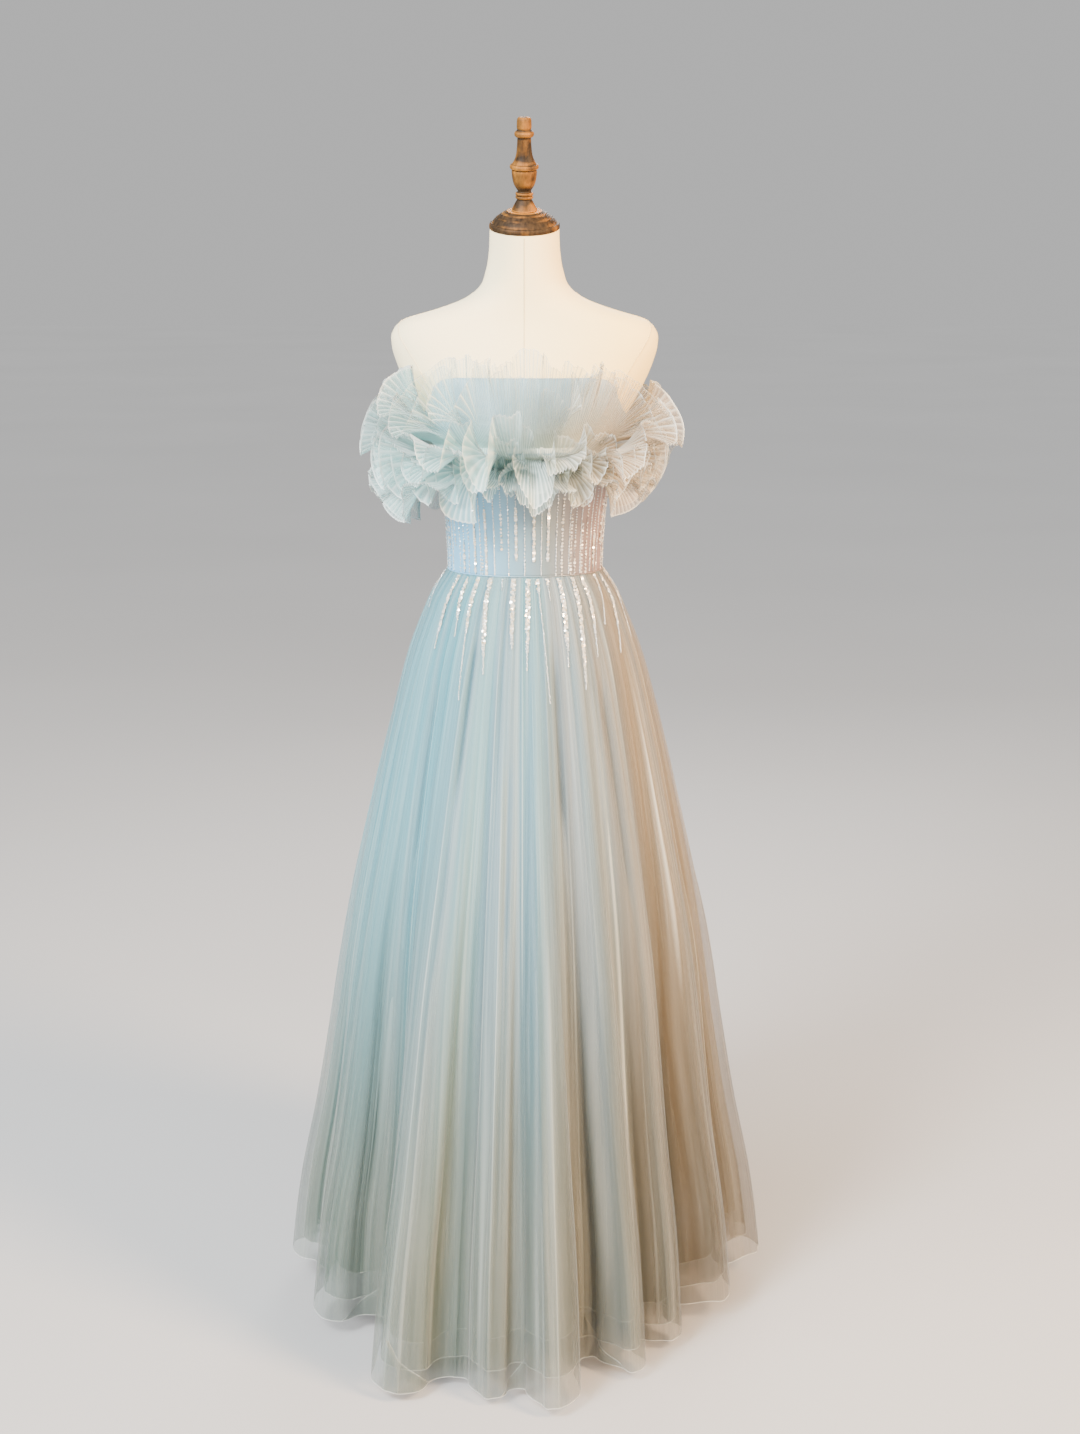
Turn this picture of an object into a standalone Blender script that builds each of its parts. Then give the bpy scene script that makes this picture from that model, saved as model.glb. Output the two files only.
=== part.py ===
"""A-line prom dress on a limbless dress form, in metres, +Z up.

The origin is the centre of the stand's underside, on the floor. The front of the dress faces -Y.
An angle runs round the body from the centre front (0) through the +X side (90) to the centre back (180).
"""
import math

import bmesh
import bpy
import numpy as np
from mathutils import Matrix, Vector

# Driving sizes of the dress
WAIST = 1.084
GAP = 0.0003
SEAM = 0.00015
CLOTH = 0.001
BODICE_CLOTH = 0.0016
PLACKET_HALF = 0.0017
HEM_LOW = 0.012
HEM_SIDE_LIFT = 0.026
HEM_RIPPLE = 0.005
RUFFLE_GAP = 0.0004
RUFFLE_PLEATS = 42
RUFFLE_PLEAT_DEPTH = 0.0026
RUFFLE_WAVES = 14
RUFFLE_DRIFT, RUFFLE_DRIFT_WAVES = 0.4, 5
RUFFLE_LEFT_EXTRA = 0.05
RUFFLE_BACK_END = 174
RIGHT_SEAM, LEFT_SEAM, CENTRE_BACK = 92, -92, 180
BODICE_SEAM = 90
LINING_HEM_HEIGHT = 0.105
LINING_HEM_RADIUS = 0.222
LINING_WAVE, LINING_WAVES = 0.009, 12
LINING_LEAVES_HIP = 0.90
LINING_HIP_EASE = 0.0025
LINING_FLARED_ROWS = 3

# Driving sizes of the dress form
BODY_STEP = 10
NECK_TILT = math.radians(13)
NECK_TILT_FROM, NECK_TOP = 1.468, 1.548
POLE_RADIUS = 0.0125
BASE_RADIUS = 0.150

# Driving sizes of the zip's slider and pull
SLIDER_HEIGHT = 1.246
SLIDER_SIZE = Vector((0.0060, 0.0022, 0.0095))
BRIDGE_SIZE = Vector((0.0016, 0.0031, 0.0040))
BRIDGE_HOLE = 0.0011
PULL_OUT = 0.00115
PULL_BAR = 0.0006
PULL_ARM_GAP = 0.0013
PULL_WIDTH_TOP, PULL_WIDTH_LOW = 0.0050, 0.0066
PULL_WINDOW, PULL_LENGTH = 0.0050, 0.0200

# height, half width, front depth, back depth, lean of the section's centre, squareness
TORSO = [
    (0.800, 0.145, 0.098, 0.102, 0.000, 2.2),
    (0.840, 0.150, 0.101, 0.109, 0.000, 2.2),
    (0.900, 0.150, 0.101, 0.112, 0.000, 2.2),
    (0.960, 0.141, 0.097, 0.106, 0.000, 2.2),
    (1.020, 0.123, 0.090, 0.094, 0.000, 2.1),
    (1.060, 0.109, 0.085, 0.086, 0.000, 2.1),
    (1.085, 0.1035, 0.083, 0.081, 0.000, 2.1),
    (1.120, 0.1045, 0.086, 0.080, 0.000, 2.1),
    (1.160, 0.1080, 0.093, 0.082, 0.000, 2.1),
    (1.210, 0.1150, 0.108, 0.087, 0.000, 2.1),
    (1.255, 0.1240, 0.120, 0.092, 0.000, 2.1),
    (1.290, 0.1360, 0.112, 0.097, 0.000, 2.1),
    (1.315, 0.1500, 0.104, 0.099, 0.000, 2.2),
    (1.343, 0.1650, 0.093, 0.098, 0.000, 2.4),
    (1.371, 0.1765, 0.082, 0.094, 0.000, 2.6),
    (1.392, 0.1820, 0.074, 0.088, 0.000, 2.7),
    (1.411, 0.1805, 0.067, 0.080, 0.001, 2.7),
    (1.425, 0.1670, 0.062, 0.073, 0.001, 2.6),
    (1.439, 0.1215, 0.058, 0.065, 0.000, 2.4),
    (1.452, 0.0860, 0.055, 0.059, -0.001, 2.2),
    (1.468, 0.0635, 0.052, 0.055, -0.003, 2.1),
    (1.492, 0.0525, 0.049, 0.050, -0.005, 2.0),
    (1.515, 0.0485, 0.047, 0.047, -0.007, 2.0),
    (1.548, 0.0470, 0.046, 0.046, -0.010, 2.0),
]

# height, room between the form and the inside of the bodice
EASE = [
    (1.084, 0.0022),
    (1.120, 0.0020),
    (1.160, 0.0014),
    (1.210, 0.0008),
    (1.255, 0.0006),
    (1.290, 0.0012),
    (1.352, 0.0026),
]

# angle from the centre front, height of the bodice's top edge
NECKLINE = [
    (0, 1.352),
    (27, 1.352),
    (36, 1.349),
    (44, 1.339),
    (50, 1.325),
    (62, 1.308),
    (90, 1.286),
    (120, 1.274),
    (180, 1.270),
]

# height, share of the way from the waist to the spread of the hem
FLARE = [
    (0.000, 1.020),
    (0.048, 1.000),
    (0.170, 0.933),
    (0.290, 0.832),
    (0.409, 0.749),
    (0.525, 0.674),
    (0.640, 0.583),
    (0.752, 0.478),
    (0.826, 0.406),
    (0.900, 0.326),
    (0.972, 0.238),
    (1.022, 0.156),
    (1.051, 0.101),
    (1.0837, 0.000),
]

# angle, distance of the hem from the centre line, at each crest and valley of the folds
FOLDS = [
    (-92, 0.352),
    (-77, 0.300),
    (-61, 0.343),
    (-48, 0.264),
    (-26, 0.402),
    (-14, 0.330),
    (-6, 0.374),
    (-1, 0.350),
    (5, 0.406),
    (17, 0.285),
    (25, 0.345),
    (34, 0.272),
    (43, 0.307),
    (54, 0.248),
    (66, 0.322),
    (79, 0.288),
    (92, 0.350),
    (104, 0.296),
    (117, 0.345),
    (130, 0.286),
    (143, 0.364),
    (156, 0.302),
    (168, 0.370),
    (180, 0.312),
    (193, 0.366),
    (206, 0.296),
    (219, 0.368),
    (232, 0.290),
    (245, 0.344),
    (257, 0.300),
    (268, 0.352),
]
MEAN_HEM = 0.33
FOLD_GROWTH = 1.2
BROAD_FOLD = 16

# name, waist's distance from the form, inset at the hem, share of the fold depth, hem lift, row shares
TULLE_LAYERS = [
    ("skirt", 0.0039, 0.000, 1.0, 0.000, (0, 0.018, 0.045, 0.095, 0.17, 0.3, 0.47, 0.65, 0.83, 1)),
    ("under_tulle", 0.0026, 0.023, 0.8, 0.060, (0, 0.02, 0.05, 0.12, 0.4, 1)),
]

# tier, height of its root, elevation in degrees and length at the front, side and back, swing of its waves
RUFFLE_TIERS = [
    ("upper", 1.262, (66, 30, 46), (0.126, 0.100, 0.100), 9),
    ("middle", 1.248, (20, 2, 8), (0.096, 0.088, 0.090), 9),
    ("lower", 1.234, (-24, -32, -38), (0.080, 0.088, 0.086), 7),
]
RUFFLE_ROWS = (0, 0.33, 0.68, 1)

# radius, height along the neck's axis
CAP_PROFILE = [
    (0.0470, 0.0000),
    (0.0478, 0.0014),
    (0.0478, 0.0046),
    (0.0462, 0.0071),
    (0.0440, 0.0080),
    (0.0405, 0.0136),
    (0.0380, 0.0143),
    (0.0330, 0.0191),
    (0.0305, 0.0196),
    (0.0240, 0.0236),
]
FINIAL_PROFILE = [
    (0.0175, 0.0000),
    (0.0160, 0.0028),
    (0.0138, 0.0075),
    (0.0104, 0.0141),
    (0.0120, 0.0174),
    (0.0104, 0.0201),
    (0.0120, 0.0226),
    (0.0090, 0.0256),
    (0.0101, 0.0278),
    (0.0138, 0.0341),
    (0.0163, 0.0433),
    (0.0172, 0.0542),
    (0.0194, 0.0558),
    (0.0194, 0.0612),
    (0.0148, 0.0643),
    (0.0112, 0.0725),
    (0.0096, 0.0848),
    (0.0093, 0.0951),
    (0.0130, 0.0984),
    (0.0130, 0.1036),
    (0.0095, 0.1069),
    (0.0099, 0.1112),
    (0.0096, 0.1201),
    (0.0070, 0.1232),
]
BASE_PROFILE = [
    (BASE_RADIUS, 0.0000),
    (BASE_RADIUS, 0.0040),
    (0.1475, 0.0062),
    (0.0300, 0.0085),
    (0.0210, 0.0110),
    (0.0200, 0.0300),
]

# name, colour, roughness, metallic
FINISHES = {
    "form jersey": ((0.82, 0.77, 0.68), 0.85, 0.0),
    "turned wood": ((0.16, 0.09, 0.05), 0.45, 0.0),
    "stand steel": ((0.62, 0.62, 0.63), 0.35, 1.0),
    "beaded satin": ((0.47, 0.58, 0.63), 0.40, 0.0),
    "zip tape": ((0.50, 0.60, 0.65), 0.60, 0.0),
    "zip metal": ((0.66, 0.70, 0.72), 0.30, 1.0),
    "pleated organza": ((0.52, 0.61, 0.60), 0.50, 0.0),
    "tulle": ((0.55, 0.62, 0.62), 0.60, 0.0),
    "lining satin": ((0.58, 0.63, 0.66), 0.45, 0.0),
}


def column(table, index):
    return [row[index] for row in table]


def material_for(piece, finish):
    """Give a piece its own material in the named finish."""
    colour, roughness, metallic = FINISHES[finish]
    material = bpy.data.materials.new(piece.name + " " + finish)
    material.use_nodes = True
    shader = material.node_tree.nodes["Principled BSDF"]
    shader.inputs["Base Color"].default_value = (*colour, 1)
    shader.inputs["Roughness"].default_value = roughness
    shader.inputs["Metallic"].default_value = metallic
    piece.data.materials.append(material)


def add_piece(name, mesh_builder, finish, sharp=35):
    """Turn a bmesh into a named object with smooth shading and its own material."""
    bmesh.ops.recalc_face_normals(mesh_builder, faces=mesh_builder.faces)
    mesh = bpy.data.meshes.new(name)
    mesh_builder.to_mesh(mesh)
    mesh_builder.free()
    mesh.shade_smooth()
    mesh.set_sharp_from_angle(angle=math.radians(sharp))
    piece = bpy.data.objects.new(name, mesh)
    bpy.context.scene.collection.objects.link(piece)
    material_for(piece, finish)
    return piece


def turned(name, profile, segments, finish, placing):
    """A solid turned round its own upright axis from a profile of radii and heights."""
    builder = bmesh.new()
    points = [(0, profile[0][1]), *profile, (0, profile[-1][1])]
    verts = [builder.verts.new((radius, 0, height)) for radius, height in points]
    edges = [builder.edges.new(pair) for pair in zip(verts, verts[1:])]
    bmesh.ops.spin(
        builder,
        geom=verts + edges,
        axis=(0, 0, 1),
        cent=(0, 0, 0),
        steps=segments,
        angle=math.tau,
        use_merge=True,
    )
    bmesh.ops.remove_doubles(builder, verts=builder.verts, dist=1e-6)
    bmesh.ops.transform(builder, matrix=placing, verts=builder.verts)
    return add_piece(name, builder, finish)


def around(angle):
    """The unit vectors that point out from the body and along it at an angle."""
    turn = math.radians(angle)
    out = Vector((math.sin(turn), -math.cos(turn), 0))
    along = Vector((math.cos(turn), math.sin(turn), 0))
    return out, along


def body_point(angle, height, clearance=0.0):
    """A point on the dress form, or at a clearance outside it."""
    heights = column(TORSO, 0)
    half_width, front, back, lean, square = (np.interp(height, heights, column(TORSO, i)) for i in range(1, 6))
    out, _ = around(angle)
    depth = front if out.y < 0 else back
    across = math.copysign(abs(out.x) ** (2 / square), out.x) * (half_width + clearance)
    forward = math.copysign(abs(out.y) ** (2 / square), out.y) * (depth + clearance)
    return Vector((across, forward + lean, height))


def neck_tilt(point):
    """Tip the top of the neck towards the front."""
    share = np.interp(point.z, (NECK_TILT_FROM, NECK_TOP), (0, 1))
    return Vector((point.x, point.y, point.z + share * (point.y - TORSO[-1][4]) * math.tan(NECK_TILT)))


def make_torso():
    builder = bmesh.new()
    angles = range(0, 360, BODY_STEP)
    rings = []
    for height in column(TORSO, 0):
        points = [neck_tilt(body_point(angle, height)) for angle in angles]
        rings.append([builder.verts.new(point) for point in points])
    for low, high in zip(rings, rings[1:]):
        for i in range(len(low)):
            builder.faces.new((low[i - 1], low[i], high[i], high[i - 1]))
    builder.faces.new(rings[0])
    builder.faces.new(rings[-1])
    add_piece("form_torso", builder, "form jersey", sharp=60)


def make_neck_and_stand():
    """The turned cap and finial on the neck, and the pole and base under the form."""
    neck = Matrix.Translation((0, TORSO[-1][4], NECK_TOP)) @ Matrix.Rotation(NECK_TILT, 4, "X")
    turned("neck_cap", CAP_PROFILE, 24, "turned wood", neck @ Matrix.Translation((0, 0, GAP)))
    cap_top = CAP_PROFILE[-1][1] + 2 * GAP
    turned("finial", FINIAL_PROFILE, 16, "turned wood", neck @ Matrix.Translation((0, 0, cap_top)))
    pole_foot, pole_top = BASE_PROFILE[-1][1] + GAP, TORSO[0][0] - GAP
    pole = [(POLE_RADIUS, pole_foot), (POLE_RADIUS, pole_top)]
    turned("stand_pole", pole, 16, "stand steel", Matrix.Identity(4))
    turned("stand_base", BASE_PROFILE, 32, "stand steel", Matrix.Identity(4))


def towards_inside(surface, angle, share):
    """The unit vector square to a cloth's surface, from its outer or upper face to its other face."""
    small_angle, small_share = 0.4, 0.01
    along = surface(angle + small_angle, share) - surface(angle - small_angle, share)
    low, high = max(share - small_share, 0), min(share + small_share, 1)
    down = surface(angle, high) - surface(angle, low)
    return along.cross(down).normalized()


def cloth_panel(name, angles, shares, surface, inner, finish, end_gaps=(SEAM, SEAM)):
    """A cloth wall over a grid of angles and shares of its length, closed along its four edges.

    surface gives the points of its outer face and inner those of its other face. end_gaps hold its first and
    last column back from the seam.
    """
    builder = bmesh.new()
    faces = []
    for face in (surface, inner):
        grid = []
        for i, angle in enumerate(angles):
            _, along = around(angle)
            shift = Vector()
            if i == 0:
                shift = along * end_gaps[0]
            if i == len(angles) - 1:
                shift = along * -end_gaps[1]
            grid.append([builder.verts.new(face(angle, share) + shift) for share in shares])
        faces.append(grid)
    outer, other = faces
    last_column, last_row = len(angles) - 1, len(shares) - 1
    for grid in faces:
        for i in range(last_column):
            for j in range(last_row):
                corner, far = grid[i][j], grid[i + 1][j + 1]
                builder.faces.new((corner, grid[i + 1][j], far))
                builder.faces.new((corner, far, grid[i][j + 1]))
    for i in range(last_column):
        for j in (0, last_row):
            builder.faces.new((outer[i][j], outer[i + 1][j], other[i + 1][j], other[i][j]))
    for j in range(last_row):
        for i in (0, last_column):
            builder.faces.new((outer[i][j], outer[i][j + 1], other[i][j + 1], other[i][j]))
    return add_piece(name, builder, finish, sharp=50)


def ease_at(height):
    return np.interp(height, column(EASE, 0), column(EASE, 1))


def bodice_point(angle, height, beyond=0.0):
    """A point on the outside of the bodice, or beyond it."""
    return body_point(angle, height, ease_at(height) + BODICE_CLOTH + beyond)


def bodice_panel(name, angles, fixed_heights, sliding_rows, end_gaps):
    """A bodice panel from the waist, with level rows up to the last fixed height and the neckline above."""
    fixed = len(fixed_heights) - 1
    shares = range(fixed + sliding_rows + 1)

    def height_at(angle, row):
        if row <= fixed:
            return fixed_heights[row]
        off_front = abs((angle + 180) % 360 - 180)
        top = np.interp(off_front, column(NECKLINE, 0), column(NECKLINE, 1))
        return fixed_heights[fixed] + (top - fixed_heights[fixed]) * (row - fixed) / sliding_rows

    def outside(angle, row):
        return bodice_point(angle, height_at(angle, row))

    def inside(angle, row):
        height = height_at(angle, row)
        return body_point(angle, height, ease_at(height))

    cloth_panel(name, angles, shares, outside, inside, "beaded satin", end_gaps)


def bodice_levels():
    """The waist, and the form's own levels up to the back's neckline."""
    return [WAIST, *(row[0] for row in TORSO if WAIST + 0.01 < row[0] < NECKLINE[-1][1])]


def make_bodice():
    levels = bodice_levels()
    at_zip = PLACKET_HALF + GAP
    front = range(-BODICE_SEAM, BODICE_SEAM + 1, BODY_STEP)
    right = range(BODICE_SEAM, CENTRE_BACK + 1, BODY_STEP)
    left = range(CENTRE_BACK, 360 - BODICE_SEAM + 1, BODY_STEP)
    bodice_panel("bodice_front", front, levels, 4, (SEAM, SEAM))
    bodice_panel("bodice_back_right", right, levels, 1, (SEAM, at_zip))
    bodice_panel("bodice_back_left", left, levels, 1, (at_zip, SEAM))


def fold_radius(angle):
    """The hem's distance from the centre line: smooth waves through the crests and valleys."""
    angles = column(FOLDS, 0)
    wrapped = (angle - angles[0]) % 360 + angles[0]
    i = min(np.searchsorted(angles, wrapped, side="right"), len(FOLDS) - 1)
    (start, radius), (end, next_radius) = FOLDS[i - 1], FOLDS[i]
    wave = (1 - math.cos(math.pi * (wrapped - start) / (end - start))) / 2
    return radius + (next_radius - radius) * wave


def hem_height(angle):
    turn = math.radians(angle)
    ripple = HEM_RIPPLE * (1 + math.sin(7 * turn)) / 2
    return HEM_LOW + HEM_SIDE_LIFT * math.sin(turn) ** 4 + ripple


def tulle_surface(waist_clearance, inset, fold_share, hem_lift):
    """The outer face of a gathered tulle layer, by angle and share of its length."""
    top = WAIST - GAP

    def point(angle, share):
        hem = hem_height(angle) + hem_lift
        height = top + (hem - top) * share
        flare = np.interp(height, column(FLARE, 0), column(FLARE, 1))
        drop = (top - height) / (top - HEM_LOW)
        out, _ = around(angle)
        fold = fold_share * (fold_radius(angle) - MEAN_HEM) * drop**FOLD_GROWTH
        hem_point = out * (MEAN_HEM - inset)
        waist_point = body_point(angle, top, waist_clearance)
        spread = waist_point.lerp(hem_point, flare) + out * fold
        return Vector((spread.x, spread.y, height))

    return point


def fold_columns(start, end):
    """The angles of a tulle panel's columns: each half fold in three steps, or four if it is broad."""
    ends = [row[0] for row in FOLDS if start <= row[0] <= end]
    angles = []
    for low, high in zip(ends, ends[1:]):
        steps = 4 if high - low > BROAD_FOLD else 3
        angles += [low + (high - low) * k / steps for k in range(steps)]
    return angles + [ends[-1]]


def thick(surface, cloth):
    """The other face of a cloth of that thickness."""

    def point(angle, share):
        return surface(angle, share) + towards_inside(surface, angle, share) * cloth

    return point


def make_tulle():
    panels = [
        ("front", LEFT_SEAM, RIGHT_SEAM),
        ("back_right", RIGHT_SEAM, CENTRE_BACK),
        ("back_left", CENTRE_BACK, 360 + LEFT_SEAM),
    ]
    for name, clearance, inset, fold_share, lift, shares in TULLE_LAYERS:
        surface = tulle_surface(clearance, inset, fold_share, lift)
        for side, start, end in panels:
            angles = fold_columns(start, end)
            cloth_panel(name + "_" + side, angles, shares, surface, thick(surface, CLOTH), "tulle")


def lining_rows():
    """The heights of the lining's rows: the form's own levels down to the hip, then even steps to the hem."""
    top = WAIST - GAP
    levels = [top, *(row[0] for row in reversed(TORSO) if LINING_LEAVES_HIP <= row[0] < WAIST)]
    step = (levels[-1] - LINING_HEM_HEIGHT) / LINING_FLARED_ROWS
    return levels + [levels[-1] - step * (k + 1) for k in range(LINING_FLARED_ROWS)]


def lining_surface(angle, share):
    """The lining lies on the form down to the hip and flares from there to its hem."""
    top = WAIST - GAP
    heights = lining_rows()
    height = np.interp(share * (len(heights) - 1), range(len(heights)), heights)
    hip_share = np.interp(height, (LINING_LEAVES_HIP, top), (1, 0))
    clearance = GAP + CLOTH + LINING_HIP_EASE * hip_share
    on_form = body_point(angle, max(height, LINING_LEAVES_HIP), clearance)
    fall = np.interp(height, (LINING_HEM_HEIGHT, LINING_LEAVES_HIP), (1, 0))
    out, _ = around(angle)
    wave = LINING_WAVE * math.cos(math.radians(LINING_WAVES * angle)) * fall
    flat = on_form.lerp(out * LINING_HEM_RADIUS, fall) + out * wave
    return Vector((flat.x, flat.y, height))


def make_lining():
    rows = len(lining_rows()) - 1
    shares = [k / rows for k in range(rows + 1)]
    front = range(-90, 91, BODY_STEP)
    back = range(90, 271, BODY_STEP)
    inside = thick(lining_surface, CLOTH)
    cloth_panel("lining_front", front, shares, lining_surface, inside, "lining satin")
    cloth_panel("lining_back", back, shares, lining_surface, inside, "lining satin")


def front_side_back(values, angle):
    """A value that goes from its front size to its side size to its back size round the body."""
    front, side, back = values
    end = front if math.cos(math.radians(angle)) > 0 else back
    return end + (side - end) * math.sin(math.radians(angle)) ** 4


def ruffle_faces(root_height, elevations, lengths, swing):
    """The upper and lower faces of a pleated tier that springs from the bodice and fans out."""
    pleat_angle = 360 / RUFFLE_PLEATS

    def springing(angle, share, root):
        turn = math.radians(angle)
        wave = math.sin(RUFFLE_WAVES * turn) + RUFFLE_DRIFT * math.sin(RUFFLE_DRIFT_WAVES * turn + 1)
        elevation = math.radians(front_side_back(elevations, angle) + swing * wave * share)
        out, _ = around(angle)
        reach = front_side_back(lengths, angle) * (1 - RUFFLE_LEFT_EXTRA * out.x) * share
        up = Vector((0, 0, 1))
        across = abs(2 * ((angle / pleat_angle) % 1) - 1) * 2 - 1
        pleat = RUFFLE_PLEAT_DEPTH * across * share
        lie = out * math.cos(elevation) + up * math.sin(elevation)
        square = up * math.cos(elevation) - out * math.sin(elevation)
        return bodice_point(angle, root, RUFFLE_GAP) + lie * reach + square * pleat

    def upper(angle, share):
        return springing(angle, share, root_height)

    def lower(angle, share):
        if share == 0:
            mitre = CLOTH / math.cos(math.radians(front_side_back(elevations, angle)))
            return springing(angle, share, root_height - mitre)
        return upper(angle, share) + towards_inside(upper, angle, share) * CLOTH

    return upper, lower


def make_ruffles():
    half_pleat = 180 / RUFFLE_PLEATS
    side = BODICE_SEAM
    panels = [
        ("front", -side, side, (SEAM, SEAM)),
        ("back_right", side, RUFFLE_BACK_END, (SEAM, 0)),
        ("back_left", 360 - RUFFLE_BACK_END, 360 - side, (0, SEAM)),
    ]
    for tier, root_height, elevations, lengths, swing in RUFFLE_TIERS:
        upper, lower = ruffle_faces(root_height, elevations, lengths, swing)
        for name, start, end, gaps in panels:
            first, last = math.ceil(start / half_pleat), math.floor(end / half_pleat)
            inside = [k * half_pleat for k in range(first, last + 1)]
            inside = [angle for angle in inside if start + 1 < angle < end - 1]
            angles = [start, *inside, end]
            panel_name = "ruffle_" + tier + "_" + name
            cloth_panel(panel_name, angles, RUFFLE_ROWS, upper, lower, "pleated organza", gaps)


def make_placket():
    """The strip of the concealed zip, which fills the slot between the two bodice backs."""
    levels = [*bodice_levels(), NECKLINE[-1][1]]
    builder = bmesh.new()
    rings = []
    for height in levels:
        outside = bodice_point(CENTRE_BACK, height).y
        inside = body_point(CENTRE_BACK, height, ease_at(height)).y
        corners = [(-1, inside), (1, inside), (1, outside), (-1, outside)]
        rings.append([builder.verts.new((side * PLACKET_HALF, y, height)) for side, y in corners])
    for low, high in zip(rings, rings[1:]):
        for i in range(4):
            builder.faces.new((low[i - 1], low[i], high[i], high[i - 1]))
    builder.faces.new(rings[0])
    builder.faces.new(rings[-1])
    add_piece("zip_placket", builder, "zip tape")


def box(name, size, centre, finish, edge=0.0):
    builder = bmesh.new()
    bmesh.ops.create_cube(builder, size=1)
    bmesh.ops.scale(builder, vec=size, verts=builder.verts)
    bmesh.ops.translate(builder, vec=centre, verts=builder.verts)
    if edge:
        bmesh.ops.bevel(
            builder,
            geom=builder.edges[:],
            offset=edge,
            segments=1,
            profile=0.5,
            affect="EDGES",
        )
    return add_piece(name, builder, finish)


def boolean(piece, cutter, operation):
    modifier = piece.modifiers.new(cutter.name, "BOOLEAN")
    modifier.operation = operation
    modifier.object = cutter
    cutter.hide_render = True
    cutter.display_type = "WIRE"


def zip_slope():
    """The bodice's outside point at the slider, and the lean of the bodice there."""
    low = bodice_point(CENTRE_BACK, SLIDER_HEIGHT - 0.004)
    high = bodice_point(CENTRE_BACK, SLIDER_HEIGHT + 0.004)
    return (low + high) / 2, math.atan2(high.y - low.y, high.z - low.z)


def make_slider_and_pull():
    """The slider sits on the closed zip with its bridge outwards, and the pull's bar lies in the bridge."""
    seat, slope = zip_slope()
    face_out = GAP + SLIDER_SIZE.y
    lean = Matrix.Translation(seat) @ Matrix.Rotation(-slope, 4, "X")

    slider = box("zip_slider", SLIDER_SIZE, (0, GAP + SLIDER_SIZE.y / 2, 0), "zip metal", 0.0004)
    sunk = 0.001
    bridge_size = BRIDGE_SIZE + Vector((0, sunk, 0))
    bridge_centre = (0, face_out + BRIDGE_SIZE.y / 2 - sunk / 2, 0)
    bridge = box("bridge_guide", bridge_size, bridge_centre, "zip metal", 0.0003)
    hole_builder = bmesh.new()
    bmesh.ops.create_cone(
        hole_builder,
        cap_ends=True,
        segments=16,
        radius1=BRIDGE_HOLE,
        radius2=BRIDGE_HOLE,
        depth=3 * BRIDGE_SIZE.x,
        matrix=Matrix.Translation((0, face_out + PULL_OUT, 0)) @ Matrix.Rotation(math.pi / 2, 4, "Y"),
    )
    hole = add_piece("hole_guide", hole_builder, "zip metal")
    for piece in (slider, bridge, hole):
        piece.matrix_world = lean
    boolean(slider, bridge, "UNION")
    boolean(slider, hole, "DIFFERENCE")

    axis = lean @ Vector((0, face_out + PULL_OUT, 0))
    builder = bmesh.new()
    low_half, top_half, round_steps = PULL_WIDTH_LOW / 2, PULL_WIDTH_TOP / 2, 8
    outline = [(top_half, PULL_BAR), (-top_half, PULL_BAR), (-top_half, -PULL_WINDOW)]
    for k in range(round_steps + 1):
        turn = math.pi + math.pi * k / round_steps
        outline.append((low_half * math.cos(turn), low_half * math.sin(turn) - PULL_LENGTH + low_half))
    outline.append((top_half, -PULL_WINDOW))
    plate = builder.faces.new([builder.verts.new((x, -PULL_BAR, z)) for x, z in outline])
    raised = bmesh.ops.extrude_face_region(builder, geom=[plate])["geom"]
    raised_verts = [item for item in raised if isinstance(item, bmesh.types.BMVert)]
    bmesh.ops.translate(builder, vec=(0, 2 * PULL_BAR, 0), verts=raised_verts)
    pull = add_piece("zip_pull", builder, "zip metal")
    window_height = PULL_WINDOW - PULL_BAR
    window_size = Vector((2 * PULL_ARM_GAP, 6 * PULL_BAR, window_height))
    window_centre = (0, 0, -PULL_BAR - window_height / 2)
    window = box("window_guide", window_size, window_centre, "zip metal")
    pull.location = axis
    window.location = axis
    boolean(pull, window, "DIFFERENCE")


def main():
    for thing in list(bpy.data.objects):
        bpy.data.objects.remove(thing)
    make_torso()
    make_neck_and_stand()
    make_bodice()
    make_placket()
    make_slider_and_pull()
    make_ruffles()
    make_tulle()
    make_lining()


main()
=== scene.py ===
import math

import bmesh
import bpy
import numpy as np
from mathutils import Matrix, Vector


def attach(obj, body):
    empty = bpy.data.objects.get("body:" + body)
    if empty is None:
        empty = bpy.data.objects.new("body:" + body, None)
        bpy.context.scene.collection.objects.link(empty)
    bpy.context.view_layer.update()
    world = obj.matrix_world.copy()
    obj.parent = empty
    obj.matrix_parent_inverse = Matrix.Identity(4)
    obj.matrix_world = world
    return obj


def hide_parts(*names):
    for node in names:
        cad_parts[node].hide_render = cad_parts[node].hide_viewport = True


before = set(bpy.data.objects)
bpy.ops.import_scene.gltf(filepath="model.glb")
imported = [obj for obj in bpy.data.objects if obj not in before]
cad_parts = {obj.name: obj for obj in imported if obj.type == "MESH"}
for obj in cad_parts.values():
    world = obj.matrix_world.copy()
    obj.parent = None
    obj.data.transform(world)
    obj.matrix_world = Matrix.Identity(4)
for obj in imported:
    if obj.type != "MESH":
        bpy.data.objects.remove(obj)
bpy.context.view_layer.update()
GOWN = "dressed_form"
DRAWS = np.random.default_rng(7)

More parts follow.
